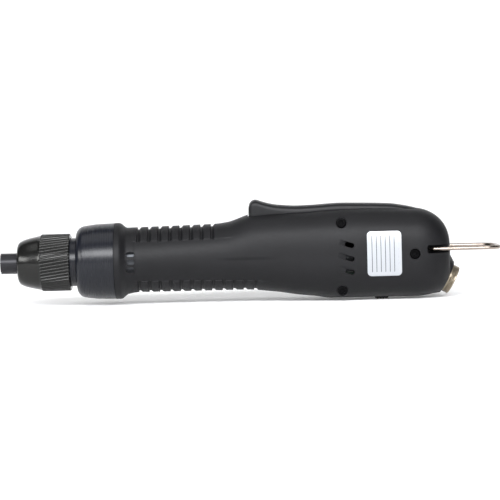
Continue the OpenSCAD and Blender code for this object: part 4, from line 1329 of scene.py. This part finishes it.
@dataclass
class Fittings:
    """Reversing knob, rating label, hanging bail and the threaded connector."""

    housing: Housing

    def knob(self, shop: Workshop) -> None:
        """Builds the reversing knob with its grip ridges underneath.

        Args:
            shop: Workshop that finishes the pieces.
        """
        low, high = mm_box("reverse_knob")
        top = -20.35
        form = block((low.x, low.y, low.z + 0.3), (high.x, high.y, top), 0.45)
        ridges = [
            block((low.x + d, low.y + 0.3, low.z), (low.x + d + 0.9, high.y - 0.3, low.z + 1.2), 0.25)
            for d in (1.0, 2.6, 4.2, 5.6)
        ]
        middle = (low.x + high.x) / 2
        stem = block((middle - 1.3, -1.3, top - 0.3), (middle + 1.3, 1.3, high.z), 0.15)
        form = carve(form, [*ridges, stem], Cut.JOIN)
        shop.finish("reverse_knob_moulded", form, ACETAL, "knob", "dark_plastic", ["reverse_knob"], crease=40)

    def label(self, shop: Workshop) -> None:
        """Lays the rounded label on the housing's side.

        Args:
            shop: Workshop that finishes the pieces.
        """
        low, high = mm_box("rating_label")
        thick = 0.2
        middle_x, middle_z = (low.x + high.x) / 2, (low.z + high.z) / 2
        half_x, half_z = (high.x - low.x) / 2, (high.z - low.z) / 2
        corner = 2.2
        form = bmesh.new()
        bmesh.ops.create_grid(form, x_segments=40, y_segments=52, size=1)
        for vert in form.verts:
            x, z = vert.co.x * half_x, vert.co.y * half_z
            if abs(x) > half_x - corner and abs(z) > half_z - corner:
                dx, dz = abs(x) - (half_x - corner), abs(z) - (half_z - corner)
                reach = math.hypot(dx, dz)
                scale = max(dx, dz) / reach if reach > 0 else 1
                x = math.copysign(half_x - corner + dx * scale, x)
                z = math.copysign(half_z - corner + dz * scale, z)
            x, z = x + middle_x, z + middle_z
            vert.co = (x, -self.housing.reach_at(x, z), z)
        bmesh.ops.recalc_face_normals(form, faces=form.faces)
        if sum(f.normal.y for f in form.faces) > 0:
            bmesh.ops.reverse_faces(form, faces=form.faces)
        raised = bmesh.ops.extrude_face_region(form, geom=form.faces[:])["geom"]
        bmesh.ops.translate(
            form, vec=(0, -thick, 0), verts=[v for v in raised if isinstance(v, bmesh.types.BMVert)]
        )
        # Silvered polyester film: cool grey-white with a faint satin sheen, and printed rules in grey ink.
        film = RuledLabel(
            "silver_polyester_label", "#a3a6a9", "#9b9ea2", 0.34, metallic=0.2, specular=0.35, ior=1.5,
            grain=0.5, relief=0.004, patch_size=8, edge_low=(low.x, low.z), edge_high=(high.x, high.z),
        )
        shop.finish("rating_label_film", form, film, "housing", "label_film", ["rating_label"], crease=50)

    def bail(self, shop: Workshop) -> None:
        """Bends the wire bail: two legs out of their pockets and one bow.

        Args:
            shop: Workshop that finishes the pieces.
        """
        low, high = mm_box("bail")
        r = (high.z - low.z) / 2
        z = (high.z + low.z) / 2
        half, pin_x = high.y - r, low.x + r
        bend, pin_y, corner = 2.5, 8.8, 8.0
        bow = high.x - r - corner
        leg = [Vector((pin_x, -pin_y, z)), Vector((pin_x, -half + bend, z))]
        leg += [
            Vector((pin_x + bend * (1 - math.cos(t)), -half + bend - bend * math.sin(t), z))
            for t in spread(0, math.pi / 2, 10)[1:]
        ]
        leg += [Vector((x, -half, z)) for x in spread(pin_x + bend, bow, 6)[1:]]
        leg += [
            Vector((bow + corner * math.sin(t), corner - half - corner * math.cos(t), z))
            for t in spread(0, math.pi / 2, 16)[1:]
        ]
        leg += [Vector((bow + corner, y, z)) for y in spread(corner - half, 0, 3)[1:]]
        path = leg + [Vector((p.x, -p.y, p.z)) for p in reversed(leg[:-1])]
        shop.finish("hanging_bail_wire", tube(path, r, 24), STAINLESS, "bail", "spring_steel", ["bail"], crease=50)

    def connector(self, shop: Workshop) -> None:
        """Builds the threaded connector shell on its slanted axis.

        Args:
            shop: Workshop that finishes the pieces.
        """
        r, bore, back, out, pitch, depth = 8.0, 6.4, -14.0, 4.1, 0.85, 0.3
        steps, turns = 120, 3
        inside = [(back, r - 0.15), (-0.9, r - 0.15), (0.06, r - 0.15), (0.06, r - 0.3), (0.3, r - 0.05)]
        thread = [(s, -1.0) for s in spread(0.45, out - 0.35, 40)]
        mouth = [(out - 0.15, r - 0.12), (out, r - 0.4), (out, bore + 0.25), (out - 0.3, bore), (back, bore), inside[0]]
        path = inside + thread + mouth
        turn = self.housing.face_axis.to_track_quat("Z", "Y").to_matrix().to_4x4()
        frame = Matrix.Translation(self.housing.face) @ turn

        def place(step: float, column: float) -> Place:
            """Point of the shell for a step of its section and a column round it.

            Args:
                step: Number of the point of the section.
                column: Number of the column round the axis.

            Returns:
                The point.
            """
            s, radius = path[int(step)]
            share = column / steps
            if radius < 0:
                phase = (s / pitch - share) % 1
                ridge = 1 - abs(2 * phase - 1)
                ends = smoothstep(s, 0.4, 0.9) * (1 - smoothstep(s, out - 0.9, out - 0.4))
                radius = r - 0.02 - depth * (1 - ridge) * ends
            point = frame @ Vector((radius * math.cos(math.tau * share), radius * math.sin(math.tau * share), s))
            return point.x, point.y, point.z

        form = draped_grid(range(len(path)), range(steps + 1), place)
        log.info("connector thread: pitch %.2f mm, about %d turns", pitch, turns + 1)
        shop.finish(
            "connector_shell_threaded", form, NICKEL, "housing", "nickel", ["connector_shell"], crease=45
        )

    def build(self, shop: Workshop) -> None:
        """Builds all the fittings.

        Args:
            shop: Workshop that finishes the pieces.
        """
        self.knob(shop)
        self.label(shop)
        self.bail(shop)
        self.connector(shop)


# ---------- the studio ----------
@dataclass
class Studio:
    """Camera, pale floor and soft lights, placed from the tool's own axis."""

    aim: Vector
    distance: float = 1.0
    elevation: float = 3.0
    roll: float = 1.5
    width: float = 0.275
    sensor: float = 36.0

    def camera(self) -> None:
        """Sets the camera square to the tool's side, a few degrees above it."""
        lens = bpy.data.cameras.new("camera")
        lens.sensor_width = self.sensor
        lens.lens = self.sensor * self.distance / self.width
        lens.clip_start, lens.clip_end = 0.01, 50
        camera = bpy.data.objects.new("camera", lens)
        bpy.context.scene.collection.objects.link(camera)
        lift = math.radians(self.elevation)
        back = Vector((0, -math.cos(lift), math.sin(lift)))
        look = (-back).to_track_quat("-Z", "Y").to_matrix().to_4x4()
        roll = Matrix.Rotation(math.radians(-self.roll), 4, "Z")
        camera.matrix_world = Matrix.Translation(self.aim + back * self.distance) @ look @ roll
        bpy.context.scene.camera = camera

    def panel(self, name: str, place: Place, size: tuple[float, float], power: float, colour: str, aim: Vector) -> None:
        """Adds one rectangular softbox that faces a point.

        Args:
            name: Name of the light.
            place: Its middle, in metres.
            size: Width and height, in metres.
            power: Power in watts.
            colour: sRGB hex colour.
            aim: Point that it faces.
        """
        data = bpy.data.lights.new(name, "AREA")
        data.shape, data.size, data.size_y = "RECTANGLE", size[0], size[1]
        data.energy, data.color = power, linear(colour)[:3]
        light = bpy.data.objects.new(name, data)
        bpy.context.scene.collection.objects.link(light)
        way = aim - Vector(place)
        light.matrix_world = Matrix.Translation(place) @ way.to_track_quat("-Z", "Y").to_matrix().to_4x4()

    def floor(self, height: float) -> None:
        """Lays the pale floor, curving up behind the tool as a seamless paper sweep.

        Args:
            height: Height of the floor, in metres.
        """
        reach, back, curve, top = 3.0, 1.4, 0.8, 2.4
        line = [(-reach, height), (back - curve, height)]
        line += [
            (back - curve + curve * math.sin(t), height + curve * (1 - math.cos(t)))
            for t in spread(0, math.pi / 2, 24)[1:]
        ]
        line += [(back, height + top)]

        def place(x: float, row: float) -> Place:
            """Point of the sweep."""
            y, z = line[int(row)]
            return x, y, z

        form = draped_grid([-reach, 0, reach], range(len(line)), place)
        for face in form.faces:
            face.smooth = True
        mesh = bpy.data.meshes.new("floor")
        form.to_mesh(mesh)
        form.free()
        # Matt white background paper: even and almost shadowless under the big lamps.
        paper = bpy.data.materials.new("matt_white_background_paper")
        paper.use_nodes = True
        tree = paper.node_tree
        surface = tree.nodes["Principled BSDF"]
        place_socket = add_node(tree, "ShaderNodeTexCoord").outputs["Object"]
        fibre = add_node(tree, "ShaderNodeTexNoise", {"Vector": place_socket, "Scale": 300.0})
        tone = add_node(
            tree, "ShaderNodeMix", {0: fibre.outputs["Fac"], 6: linear("#f6f6f6"), 7: linear("#fbfbfb")},
            data_type="RGBA",
        )
        tree.links.new(tone.outputs[2], surface.inputs["Base Color"])
        surface.inputs["Roughness"].default_value = 0.9
        surface.inputs["Specular IOR Level"].default_value = 0.1
        surface.inputs["Emission Color"].default_value = linear("#ffffff")
        surface.inputs["Emission Strength"].default_value = 0.12
        mesh.materials.append(paper)
        floor = bpy.data.objects.new("floor", mesh)
        bpy.context.scene.collection.objects.link(floor)
        floor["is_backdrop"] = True

    def lights(self) -> None:
        """Hangs the softboxes and sets a dim even surround."""
        aim = self.aim
        self.panel("key", (aim.x, -1.15, 0.62), (1.5, 0.42), 36, "#fbfcff", aim)
        self.panel("nose", (-1.15, -0.85, 0.5), (0.9, 0.4), 14, "#ffffff", aim)
        self.panel("front_low", (aim.x, -1.3, 0.08), (1.6, 0.35), 0.8, "#f3f4ff", aim)
        self.panel("back_sweep", (aim.x, -0.2, 2.2), (2.6, 1.6), 20, "#ffffff", Vector((aim.x, 1.0, 0.1)))
        world = bpy.data.worlds.new("studio")
        world.use_nodes = True
        ground = world.node_tree.nodes["Background"]
        ground.inputs["Color"].default_value = linear("#dfe2e8")
        ground.inputs["Strength"].default_value = 0.06
        bpy.context.scene.world = world
        bpy.context.scene.view_settings.view_transform = "Standard"

    def build(self, floor_height: float) -> None:
        """Builds the camera, the floor and the lights.

        Args:
            floor_height: Height of the floor, in metres.
        """
        self.camera()
        self.floor(floor_height)
        self.lights()


def main() -> None:
    """Loads the frame, dresses it piece by piece and sets the studio."""
    logging.basicConfig(level=logging.INFO, format="%(name)s: %(message)s")
    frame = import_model()
    cad_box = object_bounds()
    shop = Workshop()
    shop.dress_cad(frame["nodes"])
    housing = Housing(front_x=mm_box("housing_left")[0].x, end_x=mm_box("bail")[0].x + 12)
    Nose().build(shop)
    housing.build(shop)
    Lever().build(shop)
    Fittings(housing).build(shop)
    Studio(aim=Vector((0.13694, 0, 0.00412))).build(cad_box[0].z)


if __name__ == "__main__":
    main()
